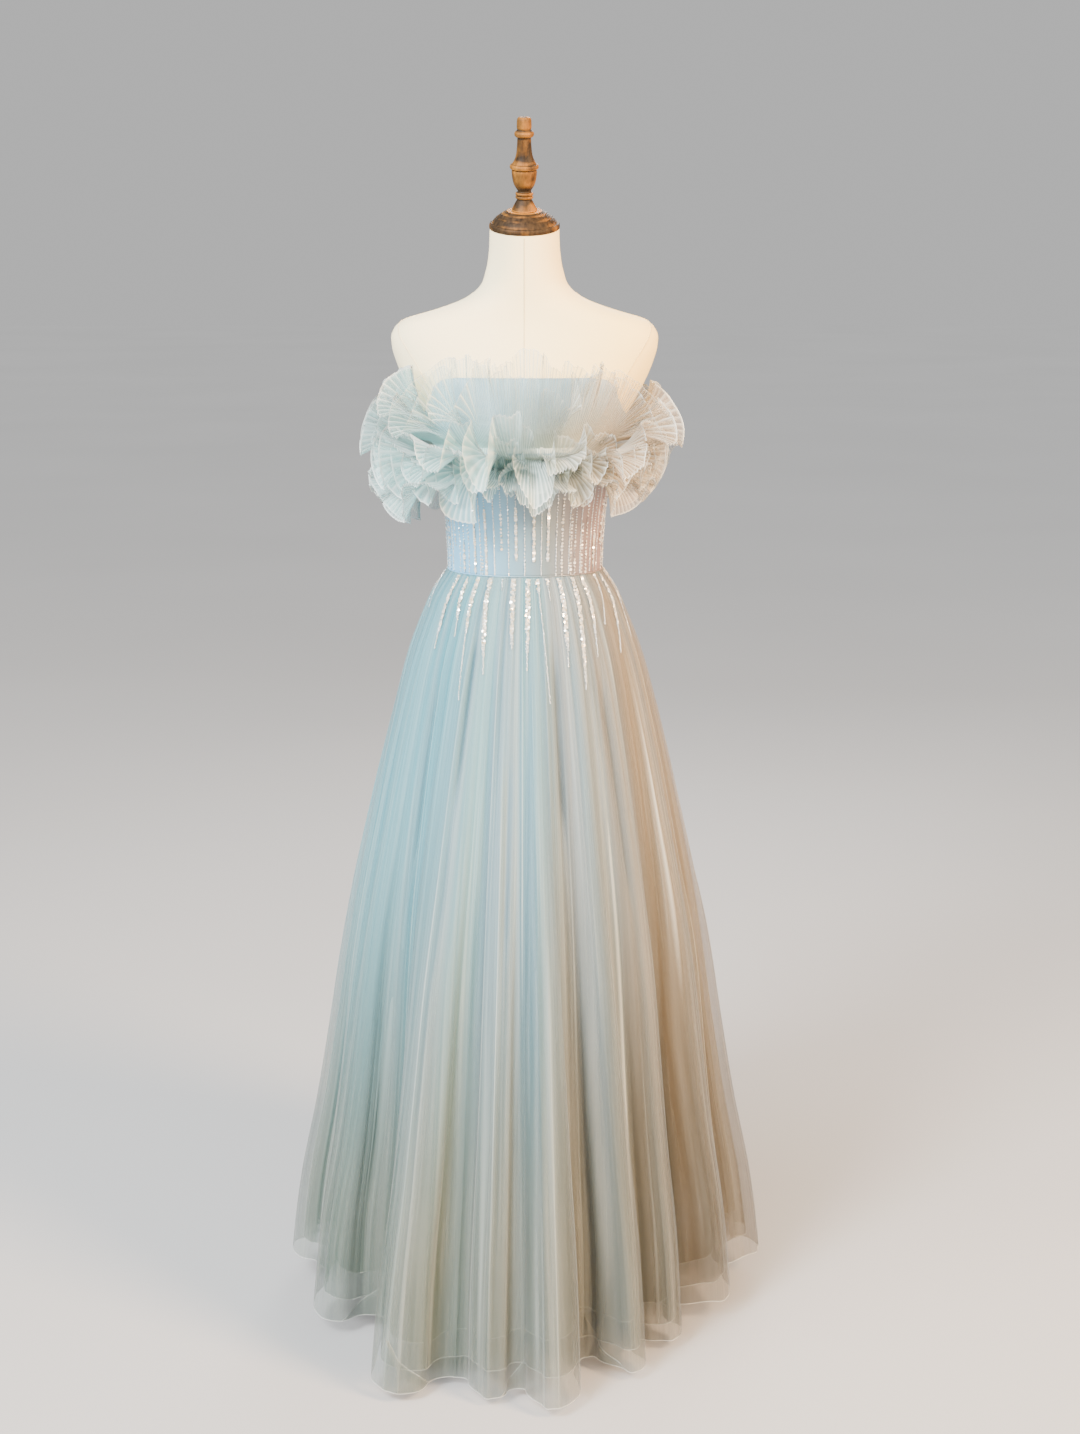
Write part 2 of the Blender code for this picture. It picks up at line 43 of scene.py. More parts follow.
# The dress form's sections: height, half width, front depth, back depth, lean, squareness
FORM = np.array([
    (0.800, 0.145, 0.098, 0.102, 0.000, 2.2),
    (0.840, 0.150, 0.101, 0.109, 0.000, 2.2),
    (0.900, 0.150, 0.101, 0.112, 0.000, 2.2),
    (0.960, 0.141, 0.097, 0.106, 0.000, 2.2),
    (1.020, 0.123, 0.090, 0.094, 0.000, 2.1),
    (1.060, 0.109, 0.085, 0.086, 0.000, 2.1),
    (1.085, 0.1035, 0.083, 0.081, 0.000, 2.1),
    (1.120, 0.1045, 0.086, 0.080, 0.000, 2.1),
    (1.160, 0.1080, 0.093, 0.082, 0.000, 2.1),
    (1.210, 0.1150, 0.108, 0.087, 0.000, 2.1),
    (1.255, 0.1240, 0.120, 0.092, 0.000, 2.1),
    (1.290, 0.1360, 0.112, 0.097, 0.000, 2.1),
    (1.315, 0.1500, 0.104, 0.099, 0.000, 2.2),
    (1.343, 0.1650, 0.093, 0.098, 0.000, 2.4),
    (1.371, 0.1765, 0.082, 0.094, 0.000, 2.6),
    (1.392, 0.1820, 0.074, 0.088, 0.000, 2.7),
    (1.411, 0.1805, 0.067, 0.080, 0.001, 2.7),
    (1.425, 0.1670, 0.062, 0.073, 0.001, 2.6),
    (1.439, 0.1215, 0.058, 0.065, 0.000, 2.4),
    (1.452, 0.0860, 0.055, 0.059, -0.001, 2.2),
    (1.468, 0.0635, 0.052, 0.055, -0.003, 2.1),
    (1.492, 0.0525, 0.049, 0.050, -0.005, 2.0),
    (1.515, 0.0485, 0.047, 0.047, -0.007, 2.0),
    (1.548, 0.0470, 0.046, 0.046, -0.010, 2.0),
])
NECK_TILT = math.radians(13)
NECK_TILT_FROM, NECK_TOP, NECK_LEAN = 1.468, 1.548, -0.010

# The bodice: the waist seam, the cloth, and its top edge as angle from the centre front and height
WAIST = 1.084
GAP = 0.0003
BODICE_CLOTH = 0.0016
BODICE_EASE = np.array([
    (1.084, 0.0022), (1.120, 0.0020), (1.160, 0.0014), (1.210, 0.0008), (1.255, 0.0006),
    (1.290, 0.0012), (1.352, 0.0026),
])
NECKLINE = np.array([
    (0, 1.352), (27, 1.352), (36, 1.349), (44, 1.339), (50, 1.325), (62, 1.308), (90, 1.286),
    (120, 1.274), (180, 1.270),
])

# The skirt: height and share of the spread, then angle and hem radius of each fold's crest or valley
FLARE = np.array([
    (0.000, 1.020), (0.048, 1.000), (0.170, 0.933), (0.290, 0.832), (0.409, 0.749),
    (0.525, 0.674), (0.640, 0.583), (0.752, 0.478), (0.826, 0.406), (0.900, 0.326),
    (0.972, 0.238), (1.022, 0.156), (1.051, 0.101), (1.0837, 0.000),
])
FOLDS = np.array([
    (-92, 0.352), (-77, 0.300), (-61, 0.343), (-48, 0.264), (-26, 0.402), (-14, 0.330),
    (-6, 0.374), (-1, 0.350), (5, 0.406), (17, 0.285), (25, 0.345), (34, 0.272), (43, 0.307),
    (54, 0.248), (66, 0.322), (79, 0.288), (92, 0.350), (104, 0.296), (117, 0.345),
    (130, 0.286), (143, 0.364), (156, 0.302), (168, 0.370), (180, 0.312), (193, 0.366),
    (206, 0.296), (219, 0.368), (232, 0.290), (245, 0.344), (257, 0.300), (268, 0.352),
])
MEAN_HEM = 0.33
FOLD_GROWTH = 1.2
FOLD_TUCK = 0.007
HEM_LOW, HEM_SIDE_LIFT, HEM_RIPPLE = 0.012, 0.026, 0.005
HEM_LINE = 0.9982
SKIRT_PANELS = [("front", -92, 92), ("back_right", 92, 180), ("back_left", 180, 268)]


def smooth(value):
    """An ease from 0 to 1, flat at both ends."""
    value = np.clip(value, 0, 1)
    return value * value * (3 - 2 * value)


def smooth_curve(at, heights, values):
    """Cubic curve through a table's rows, with the slopes of its neighbours."""
    slopes = np.gradient(values, heights)
    i = np.clip(np.searchsorted(heights, at, side="right") - 1, 0, len(heights) - 2)
    width = heights[i + 1] - heights[i]
    t = np.clip((at - heights[i]) / width, 0, 1)
    start = (1 + 2 * t) * (1 - t) ** 2 * values[i] + t * (1 - t) ** 2 * width * slopes[i]
    return start + t * t * (3 - 2 * t) * values[i + 1] + t * t * (t - 1) * width * slopes[i + 1]


def around(angle):
    """The outward unit vectors at angles from the centre front, as x and y."""
    turn = np.radians(angle)
    return np.sin(turn), -np.cos(turn)


def form_point(angle, height, clearance=0.0, cubic=False):
    """Points on the form, or at a clearance outside it, as an array of x, y, z."""
    angle, height = np.broadcast_arrays(np.asarray(angle, float), np.asarray(height, float))
    rows = FORM[:, 0]
    if cubic:
        half, front, back, lean, square = (smooth_curve(height, rows, FORM[:, i]) for i in range(1, 6))
    else:
        half, front, back, lean, square = (np.interp(height, rows, FORM[:, i]) for i in range(1, 6))
    out_x, out_y = around(angle)
    depth = np.where(out_y < 0, front, back)
    x = np.sign(out_x) * np.abs(out_x) ** (2 / square) * (half + clearance)
    y = np.sign(out_y) * np.abs(out_y) ** (2 / square) * (depth + clearance) + lean
    return np.stack([x, y, height], axis=-1)


def tilt_neck(points):
    share = np.interp(points[..., 2], (NECK_TILT_FROM, NECK_TOP), (0, 1))
    tipped = points.copy()
    tipped[..., 2] += share * (points[..., 1] - NECK_LEAN) * math.tan(NECK_TILT)
    return tipped


def bodice_point(angle, height, beyond=0.0):
    ease = np.interp(height, BODICE_EASE[:, 0], BODICE_EASE[:, 1])
    return form_point(angle, height, ease + BODICE_CLOTH + beyond)


def neckline(angle):
    off_front = np.abs((np.asarray(angle, float) + 180) % 360 - 180)
    return np.interp(off_front, NECKLINE[:, 0], NECKLINE[:, 1])


# Making and placing pieces


def place(piece, slot, *nodes):
    """Fasten a finished piece to the dressed form and hide what it stands for. slot is not used."""
    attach(piece, GOWN)
    if nodes:
        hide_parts(*nodes)
    return piece


def add_object(name, data):
    added = bpy.data.objects.new(name, data)
    bpy.context.scene.collection.objects.link(added)
    return added


def add_piece(name, builder, material):
    mesh = bpy.data.meshes.new(name)
    builder.to_mesh(mesh)
    builder.free()
    mesh.shade_smooth()
    mesh.materials.append(material)
    return add_object(name, mesh)


def mesh_points(mesh):
    flat = np.empty(len(mesh.vertices) * 3)
    mesh.vertices.foreach_get("co", flat)
    return flat.reshape(-1, 3)


def set_attribute(mesh, name, values):
    attribute = mesh.attributes.new(name, "FLOAT", "POINT")
    attribute.data.foreach_set("value", values.astype(np.float32))


def cloth_grid(name, columns, rows, shape, material, extras=()):
    """A sheet of cloth: a grid moved to shape(across, down), with across and down from 0 to 1.

    extras are the names of the point attributes that shape returns after the points.
    """
    builder = bmesh.new()
    builder.loops.layers.uv.new("cloth")
    bmesh.ops.create_grid(builder, x_segments=columns, y_segments=rows, size=0.5, calc_uvs=True)
    piece = add_piece(name, builder, material)
    mesh = piece.data
    flat = mesh_points(mesh) + 0.5
    shaped = shape(flat[:, 0], 1 - flat[:, 1])
    points, values = (shaped[0], shaped[1:]) if extras else (shaped, ())
    mesh.vertices.foreach_set("co", points.astype(np.float32).ravel())
    for extra, value in zip(extras, values):
        set_attribute(mesh, extra, value)
    mesh.update()
    return piece


def wall(piece, thickness):
    """Give a sheet its thickness, inwards from its outer face."""
    solidify = piece.modifiers.new("wall", "SOLIDIFY")
    solidify.thickness = thickness
    solidify.offset = -1
    return piece


def turned(name, profile, material, placing, segments=64, keen=0.0012, gilt=0.0):
    """A turned piece: its outline's corners are rounded by cutting them twice, then spun round the axis.

    Its wear is high on edges that stand out by about keen, and gilt adds to it all over.
    """
    points = [(0.0, profile[0][1]), *profile, (0.0, profile[-1][1])]
    for _ in range(2):
        cut = [points[0]]
        for (r0, z0), (r1, z1) in zip(points, points[1:]):
            cut.append((0.75 * r0 + 0.25 * r1, 0.75 * z0 + 0.25 * z1))
            cut.append((0.25 * r0 + 0.75 * r1, 0.25 * z0 + 0.75 * z1))
        points = cut + [points[-1]]
    builder = bmesh.new()
    verts = [builder.verts.new((radius, 0, height)) for radius, height in points]
    edges = [builder.edges.new(pair) for pair in zip(verts, verts[1:])]
    whole_turn = {"axis": (0, 0, 1), "cent": (0, 0, 0), "steps": segments, "angle": math.tau}
    bmesh.ops.spin(builder, geom=verts + edges, use_merge=True, **whole_turn)
    bmesh.ops.remove_doubles(builder, verts=builder.verts, dist=1e-6)
    bmesh.ops.recalc_face_normals(builder, faces=builder.faces)
    piece = add_piece(name, builder, material)
    radii, heights = np.array(points).T
    near = np.convolve(np.pad(radii, 4, "edge"), np.ones(9) / 9, "valid")
    proud = np.clip((radii - near) / keen, -1, 1) + gilt
    x, y, z = mesh_points(piece.data).T
    away = np.hypot(np.hypot(x, y)[:, None] - radii[None], z[:, None] - heights[None])
    set_attribute(piece.data, "wear", proud[away.argmin(axis=1)])
    piece.data.transform(placing)
    return piece


def tube(name, points, radius, material, closed=False, sides=2):
    """A thin round cord of thread or seam along points, as a mesh."""
    curve = bpy.data.curves.new(name, "CURVE")
    curve.dimensions = "3D"
    spline = curve.splines.new("POLY")
    spline.points.add(len(points) - 1)
    for knot, point in zip(spline.points, points):
        knot.co = (*point, 1)
    spline.use_cyclic_u = closed
    curve.bevel_depth = radius
    curve.bevel_resolution = sides
    curve.use_fill_caps = not closed
    guide = add_object(name + "_guide", curve)
    rounded = guide.evaluated_get(bpy.context.evaluated_depsgraph_get())
    mesh = bpy.data.meshes.new_from_object(rounded)
    bpy.data.objects.remove(guide)
    mesh.name = name
    mesh.shade_smooth()
    mesh.materials.clear()
    mesh.materials.append(material)
    return add_object(name, mesh)


# Materials


class Finish:
    """A Principled material that is built up node by node."""

    def __init__(self, name, **values):
        self.material = bpy.data.materials.new(name)
        self.material.use_nodes = True
        self.tree = self.material.node_tree
        self.shader = self.tree.nodes["Principled BSDF"]
        self.set(self.shader, **values)

    def set(self, node, **values):
        for key, value in values.items():
            node.inputs[key.replace("_", " ")].default_value = value

    def node(self, kind, **values):
        node = self.tree.nodes.new("ShaderNode" + kind)
        self.set(node, **values)
        return node

    def link(self, source, target, socket):
        self.tree.links.new(source, target.inputs[socket])

    def to_shader(self, source, socket):
        self.link(source, self.shader, socket)

    def coordinates(self, kind="Object", scale=(1, 1, 1)):
        source = self.node("TexCoord")
        mapping = self.node("Mapping", Scale=scale)
        self.link(source.outputs[kind], mapping, "Vector")
        return mapping.outputs["Vector"]

    def axes(self):
        """The piece's own X, Y and Z."""
        split = self.node("SeparateXYZ")
        self.link(self.coordinates(), split, "Vector")
        return split.outputs

    def noise(self, vector, scale, detail=3.0, roughness=0.5):
        texture = self.node("TexNoise", Scale=scale, Detail=detail, Roughness=roughness)
        self.link(vector, texture, "Vector")
        return texture.outputs["Fac"]

    def attribute(self, name):
        node = self.node("Attribute")
        node.attribute_name = name
        return node.outputs["Fac"]

    def ramp(self, source, low, high, start=0.0, end=1.0, curve="LINEAR"):
        """A value moved from one range to another."""
        node = self.node("MapRange")
        node.interpolation_type = curve
        self.link(source, node, 0)
        for socket, value in zip((1, 2, 3, 4), (start, end, low, high)):
            node.inputs[socket].default_value = value
        return node.outputs[0]

    def math(self, operation, first, second):
        node = self.tree.nodes.new("ShaderNodeMath")
        node.operation = operation
        for socket, value in enumerate((first, second)):
            if isinstance(value, (int, float)):
                node.inputs[socket].default_value = value
            else:
                self.tree.links.new(value, node.inputs[socket])
        return node.outputs[0]

    def colours(self, source, *stops):
        """A colour ramp with (place, colour) stops."""
        node = self.tree.nodes.new("ShaderNodeValToRGB")
        self.link(source, node, "Fac")
        elements = node.color_ramp.elements
        while len(elements) < len(stops):
            elements.new(0.5)
        for element, (at, colour) in zip(elements, stops):
            element.position = at
            element.color = (*colour, 1)
        return node.outputs["Color"]

    def blend(self, share, first, second, kind="MIX"):
        node = self.tree.nodes.new("ShaderNodeMix")
        node.data_type = "RGBA"
        node.blend_type = kind
        for socket, value in ((0, share), (6, first), (7, second)):
            if isinstance(value, float):
                node.inputs[socket].default_value = value
            elif isinstance(value, tuple):
                node.inputs[socket].default_value = (*value, 1)
            else:
                self.tree.links.new(value, node.inputs[socket])
        return node.outputs[2]

    def bump(self, height, distance, strength=1.0):
        node = self.node("Bump", Strength=strength, Distance=distance)
        self.link(height, node, "Height")
        self.to_shader(node.outputs["Normal"], "Normal")


def tint_and_painted_light(finish, high, low, bands=None):
    """The dress's drift of colour, partly the cloth's own and partly painted light, cool on the left and
    warm on the right: left, middle and right colours at the waist, and at the hem, where darker colours are
    painted shade.

    It is weaker at the back, and bands shift it from one fold to the next.
    """
    axes = finish.axes()
    z = axes["Z"]
    drift = finish.noise(finish.coordinates(scale=(3.0, 3.0, 0.8)), 1.6, 2.0)
    spread = finish.ramp(z, 0.40, 0.13, 0.0, 1.1)
    across = finish.math("DIVIDE", axes["X"], spread)
    across = finish.math("MULTIPLY", across, finish.ramp(axes["Y"], 1.0, 0.4, 0.0, 0.22))
    across = finish.math("ADD", across, finish.ramp(drift, -0.28, 0.28))
    if bands:
        across = finish.math("ADD", across, finish.ramp(bands, -0.42, 0.42, 0.3, 0.7))
    across = finish.ramp(across, 0.0, 1.0, -1.0, 1.0)
    places = (0.12, 0.56, 0.95)
    top = finish.colours(across, *zip(places, high))
    bottom = finish.colours(across, *zip(places, low))
    # Below the waist the hem colours take over; where they are darker, that is painted shade.
    return finish.blend(finish.ramp(z, 1.0, 0.0, 0.15, 0.85, "SMOOTHSTEP"), top, bottom)


def jersey(name="cream_jersey", depth=1.0):
    """Cream cotton jersey, with painted warm light on the right. depth is 1, and less where a seam is given
    painted shade.
    """
    finish = Finish(name, Roughness=0.9, Sheen_Weight=0.25, Sheen_Roughness=0.4)
    shade = finish.noise(finish.coordinates(), 9.0, 4.0)
    cream = finish.colours(shade, (0.3, (0.96, 0.82, 0.50)), (0.7, (0.98, 0.86, 0.54)))
    # Painted warm light: the cream turns warmer towards the right.
    to_right = finish.ramp(finish.axes()["X"], 0.0, 1.0, -0.05, 0.13)
    warm = finish.blend(to_right, cream, (0.97, 0.74, 0.28))
    # Painted shade: depth below 1 mixes in dark brown, for the seams.
    finish.to_shader(finish.blend(depth, (0.40, 0.30, 0.17), warm), "Base Color")
    knit = finish.noise(finish.coordinates(scale=(1, 1, 0.45)), 900.0, 2.0)
    finish.bump(knit, 0.0004, 0.5)
    return finish.material


def wood():
    """Dark hardwood, worn golden where it is handled."""
    finish = Finish("turned_wood", Roughness=0.6, Specular_IOR_Level=0.15)
    grain = finish.noise(finish.coordinates(scale=(60, 60, 6)), 3.0, 6.0, 0.6)
    blotch = finish.noise(finish.coordinates(), 45.0, 3.0)
    dark = finish.colours(grain, (0.35, (0.012, 0.007, 0.003)), (0.65, (0.045, 0.025, 0.010)))
    gold = finish.colours(grain, (0.3, (0.22, 0.085, 0.010)), (0.7, (0.46, 0.185, 0.022)))
    worn = finish.math("ADD", finish.attribute("wear"), finish.ramp(blotch, -0.60, 0.60))
    finish.to_shader(finish.blend(finish.ramp(worn, 0.0, 1.0, 0.05, 0.75), dark, gold), "Base Color")
    finish.bump(grain, 0.0003, 0.4)
    return finish.material


def steel():
    finish = Finish("brushed_steel", Metallic=1.0, Roughness=0.34)
    streaks = finish.noise(finish.coordinates(scale=(90, 90, 4)), 5.0, 3.0)
    grey = finish.colours(streaks, (0.3, (0.42, 0.42, 0.43)), (0.7, (0.62, 0.62, 0.63)))
    finish.to_shader(grey, "Base Color")
    finish.to_shader(finish.ramp(streaks, 0.28, 0.42), "Roughness")
    return finish.material


def bodice_satin():
    """Pale blue at the top edge and on the left, and a warmer grey to the right lower down: the blue on the
    left is partly painted cool light, and the warmer grey is painted warm light.
    """
    finish = Finish("pale_blue_satin", Roughness=0.38, Sheen_Weight=0.2, Specular_IOR_Level=0.6)
    # Left, middle and right: the satin's blue and grey, with painted cool light on the left and painted warm
    # light on the right.
    colours = [(0.19, 0.52, 0.78), (0.165, 0.215, 0.225), (0.27, 0.145, 0.115)]
    upper = finish.ramp(finish.axes()["Z"], 0.0, 0.85, 1.19, 1.27)
    tint = finish.blend(upper, tint_and_painted_light(finish, colours, colours), (0.20, 0.36, 0.45))
    finish.to_shader(tint, "Base Color")
    weave = finish.noise(finish.coordinates(scale=(1, 1, 0.1)), 1400.0, 2.0)
    finish.bump(weave, 0.0002, 0.3)
    return finish.material


def lining_satin():
    finish = Finish("lining_satin", Roughness=0.5, Sheen_Weight=0.1)
    # Waist and hem colours, left to right: the satin's own colour with painted cool light on the left and
    # painted warm light on the right, and painted shade, darker, at the hem.
    high = [(0.12, 0.34, 0.39), (0.22, 0.30, 0.35), (0.38, 0.26, 0.17)]
    low = [(0.10, 0.15, 0.12), (0.14, 0.16, 0.14), (0.13, 0.10, 0.06)]
    finish.to_shader(tint_and_painted_light(finish, high, low), "Base Color")
    crumple = finish.noise(finish.coordinates(scale=(1, 1, 0.15)), 60.0, 3.0)
    finish.bump(crumple, 0.002, 0.4)
    return finish.material


def tulle(name, sheer, solid):
    """Net that is seen through between its folds, and pale where the cloth doubles back in a ridge or at the
    hem: denser there, and with a painted highlight.

    sheer is how dense it is where it lies single, and solid how dense it is on a ridge.
    """
    finish = Finish(name, Roughness=0.7, Sheen_Weight=0.6, Sheen_Roughness=0.35)
    ridge, hem, axes = finish.attribute("ridge"), finish.attribute("hem"), finish.axes()
    grain = finish.node("CombineXYZ")
    finish.link(finish.attribute("turn"), grain, "X")
    finish.link(finish.math("MULTIPLY", axes["Z"], 0.006), grain, "Y")
    bands = finish.noise(grain.outputs["Vector"], 34.0, 2.0)
    broad = finish.noise(grain.outputs["Vector"], 95.0, 3.0, 0.6)
    fine = finish.noise(grain.outputs["Vector"], 520.0, 3.0, 0.6)
    # Waist and hem colours, left to right: the net's own colours with painted cool light on the left and
    # painted warm light on the right, and painted shade, darker, at the hem.
    high = [(0.080, 0.38, 0.46), (0.155, 0.265, 0.325), (0.23, 0.170, 0.095)]
    low = [(0.075, 0.125, 0.10), (0.135, 0.155, 0.13), (0.080, 0.062, 0.034)]
    tint = tint_and_painted_light(finish, high, low, bands)
    # Pale streaks where the net lies denser, with painted shade: darker towards the hem, and darker and
    # browner to the right.
    height = finish.ramp(axes["Z"], 0.0, 1.0, 0.1, 0.8)
    pale = finish.blend(height, (0.42, 0.43, 0.37), (0.56, 0.60, 0.57))
    pale = finish.blend(finish.ramp(axes["X"], 0.0, 0.6, 0.04, 0.30), pale, (0.29, 0.25, 0.18))
    shade = finish.blend(finish.ramp(broad, 0.0, 0.34, 0.42, 0.66), tint, pale)
    shade = finish.blend(finish.ramp(fine, 0.0, 0.15, 0.48, 0.68), shade, pale)
    # Ridges and hem: denser where the net doubles back, and a pale painted highlight.
    doubled_and_painted_highlight = finish.math("MAXIMUM", finish.ramp(ridge, 0.0, 0.8, 0.3, 1.0), hem)
    shade = finish.blend(doubled_and_painted_highlight, shade, (0.68, 0.71, 0.64))
    finish.to_shader(shade, "Base Color")
    body = finish.ramp(broad, sheer - 0.10, sheer + 0.12, 0.35, 0.65)
    body = finish.math("ADD", body, finish.ramp(fine, -0.04, 0.06, 0.38, 0.64))
    body = finish.math("ADD", body, finish.ramp(ridge, 0.0, solid - sheer))
    finish.to_shader(finish.math("MAXIMUM", body, finish.ramp(hem, 0.0, 0.8)), "Alpha")
    finish.bump(finish.math("ADD", broad, finish.ramp(fine, 0.0, 0.35)), 0.006, 0.6)
    return finish.material


def organza():
    """Sheer pleats with pale creases and a pale edge, partly where the cloth folds over and partly painted
    highlight, thinner at their ends and over the chest.
    """
    finish = Finish("pleated_organza", Roughness=0.55, Sheen_Weight=0.3, Sheen_Roughness=0.4)
    # Left, middle and right: the organza's own colour with painted cool light on the left and painted warm
    # light on the right.
    colours = [(0.37, 0.68, 0.66), (0.43, 0.58, 0.54), (0.48, 0.37, 0.23)]
    tint = tint_and_painted_light(finish, colours, colours)
    pleat, edge, reach, veil = (finish.attribute(name) for name in ("pleat", "edge", "reach", "veil"))
    # Pale creases and edge: partly where the cloth folds over, and partly painted highlight.
    crease = finish.ramp(pleat, 0.0, 1.0, 0.35, 1.0)
    doubled_and_painted_highlight = finish.math("MAXIMUM", finish.ramp(crease, 0.0, 0.75), edge)
    finish.to_shader(finish.blend(doubled_and_painted_highlight, tint, (0.80, 0.85, 0.81)), "Base Color")
    root = finish.ramp(reach, 0.30, 0.0, 0.0, 0.8)
    body = finish.math("ADD", finish.ramp(crease, 0.44, 0.80), root)
    off_centre = finish.math("ABSOLUTE", finish.axes()["X"], 0.0)
    thinning = finish.ramp(reach, 1.0, 0.62, 0.45, 0.95)
    thinning = finish.math("MAXIMUM", thinning, finish.ramp(off_centre, 0.92, 0.62, 0.10, 0.17))
    body = finish.math("MULTIPLY", body, thinning)
    body = finish.math("MAXIMUM", body, finish.ramp(edge, 0.0, 0.85))
    body = finish.math("MULTIPLY", body, finish.ramp(veil, 1.0, 0.44))
    thread = finish.math("MULTIPLY", finish.ramp(pleat, 0.0, 0.40, 0.72, 0.95), veil)
    finish.to_shader(finish.math("ADD", body, thread), "Alpha")
    return finish.material


def sewn_finish(name, metallic, roughness, *colours):
    """Beads or sequins whose colour changes from one to the next: partly their own mixed colours, and partly
    painted glints and painted dark ones that stand in for sparkle.
    """
    finish = Finish(name, Metallic=metallic, Roughness=roughness, Coat_Weight=1.0, Coat_Roughness=0.12)
    glint = finish.noise(finish.coordinates(), 430.0, 0.0)
    places = np.linspace(0.32, 0.68, len(colours)).tolist()
    finish.to_shader(finish.colours(glint, *zip(places, colours)), "Base Color")
    return finish.material


def sewn_finishes():
    # Among the mixed colours, white stands partly for painted glints and dusk partly for painted dark beads.
    white, silver, dusk = (0.98, 0.97, 0.93), (0.70, 0.75, 0.80), (0.38, 0.44, 0.50)
    gold, ice = (0.95, 0.78, 0.48), (0.74, 0.88, 0.97)
    beads = sewn_finish("glass_beads", 0.15, 0.2, dusk, white, silver, ice, white, gold, dusk)
    sequins = sewn_finish("pearly_sequins", 0.4, 0.25, gold, white, silver, gold, white, ice, white)
    return {"beads": beads, "sequins": sequins}


def zip_finish(name, colour, metallic):
    finish = Finish(name, Metallic=metallic, Roughness=0.4)
    grain = finish.noise(finish.coordinates(), 800.0, 2.0)
    darker = tuple(0.8 * part for part in colour)
    finish.to_shader(finish.colours(grain, (0.35, darker), (0.65, colour)), "Base Color")
    finish.bump(grain, 0.0001, 0.3)
    return finish.material


def floor_paint():
    finish = Finish("pale_floor", Roughness=0.8, Specular_IOR_Level=0.1)
    shade = finish.noise(finish.coordinates(), 0.6, 2.0)
    grey = finish.colours(shade, (0.3, (0.41, 0.41, 0.41)), (0.7, (0.43, 0.43, 0.43)))
    finish.to_shader(grey, "Base Color")
    return finish.material


# The dress form


def make_form(material):
    """The form's torso, in its jersey cover."""
    low, high = FORM[0, 0], FORM[-1, 0]

    def skin(across, down):
        height = high + (low - high) * down
        return tilt_neck(form_point(360 * across, height, cubic=True))

    torso = cloth_grid("form_cover", 144, 150, skin, material)
    builder = bmesh.new()
    builder.from_mesh(torso.data)
    bmesh.ops.remove_doubles(builder, verts=builder.verts, dist=1e-5)
    bmesh.ops.holes_fill(builder, edges=[edge for edge in builder.edges if edge.is_boundary], sides=0)
    builder.to_mesh(torso.data)
    builder.free()
    torso.data.shade_smooth()
    torso.data.set_sharp_from_angle(angle=math.radians(50))
    place(torso, "form_jersey", "form_torso")


def make_form_seams(material):
    """Raised seams: centre front and back, both shoulders, and round each armhole plate."""
    proud, thread_radius, neck_end = 0.0001, 0.0007, 1.545
    lines = {}
    for side, angle, start, count in (("front", 0, 1.30, 60), ("back", 180, 1.266, 70)):
        heights = np.linspace(start, neck_end, count)
        lines[f"centre_{side}_seam"] = tilt_neck(form_point(angle, heights, proud, cubic=True))
    turn = np.linspace(0, 2 * math.pi, 97)[:-1]
    plate_middle, plate_height, plate_spread = 1.345, 0.080, 42
    for side, sign in (("left", -1), ("right", 1)):
        height = plate_middle + plate_height * np.sin(turn)
        angle = 92 - plate_spread * np.cos(turn)
        lines[f"armhole_seam_{side}"] = form_point(sign * angle, height, proud, cubic=True)
        shoulder_heights = np.linspace(1.424, 1.462, 30)
        lines[f"shoulder_seam_{side}"] = form_point(sign * 94, shoulder_heights, proud, cubic=True)
    for name, points in lines.items():
        seam = tube(name, points, thread_radius, material, closed=name.startswith("armhole"))
        place(seam, "form_jersey")


# Turned pieces: the radius and height of each point of the outline, from the foot up
CAP_PROFILE = [
    (0.0468, 0.0000), (0.0476, 0.0003), (0.0478, 0.0014), (0.0478, 0.0048), (0.0468, 0.0067),
    (0.0450, 0.0076), (0.0445, 0.0074), (0.0440, 0.0080), (0.0405, 0.0126), (0.0385, 0.0145),
    (0.0380, 0.0141), (0.0372, 0.0154), (0.0330, 0.0184), (0.0310, 0.0198), (0.0305, 0.0194),
    (0.0298, 0.0205), (0.0240, 0.0235), (0.0238, 0.0236),
]
FINIAL_PROFILE = [
    (0.0175, 0.0000), (0.0172, 0.0011), (0.0160, 0.0036), (0.0138, 0.0080), (0.0114, 0.0122),
    (0.0100, 0.0143), (0.0098, 0.0153), (0.0119, 0.0166), (0.0121, 0.0179), (0.0119, 0.0192),
    (0.0102, 0.0200), (0.0119, 0.0209), (0.0121, 0.0224), (0.0119, 0.0237), (0.0094, 0.0247),
    (0.0088, 0.0260), (0.0096, 0.0275), (0.0116, 0.0303), (0.0138, 0.0341), (0.0154, 0.0388),
    (0.0163, 0.0438), (0.0169, 0.0490), (0.0171, 0.0535), (0.0162, 0.0543), (0.0164, 0.0548),
    (0.0190, 0.0558), (0.0195, 0.0577), (0.0195, 0.0593), (0.0188, 0.0610), (0.0170, 0.0616),
    (0.0162, 0.0624), (0.0148, 0.0643), (0.0124, 0.0688), (0.0110, 0.0739), (0.0100, 0.0810),
    (0.0095, 0.0885), (0.0092, 0.0947), (0.0090, 0.0963), (0.0112, 0.0972), (0.0129, 0.0991),
    (0.0132, 0.1012), (0.0129, 0.1032), (0.0110, 0.1051), (0.0093, 0.1061), (0.0092, 0.1074),
    (0.0098, 0.1085), (0.0099, 0.1130), (0.0097, 0.1189), (0.0090, 0.1215), (0.0074, 0.1228),
    (0.0040, 0.1232),
]
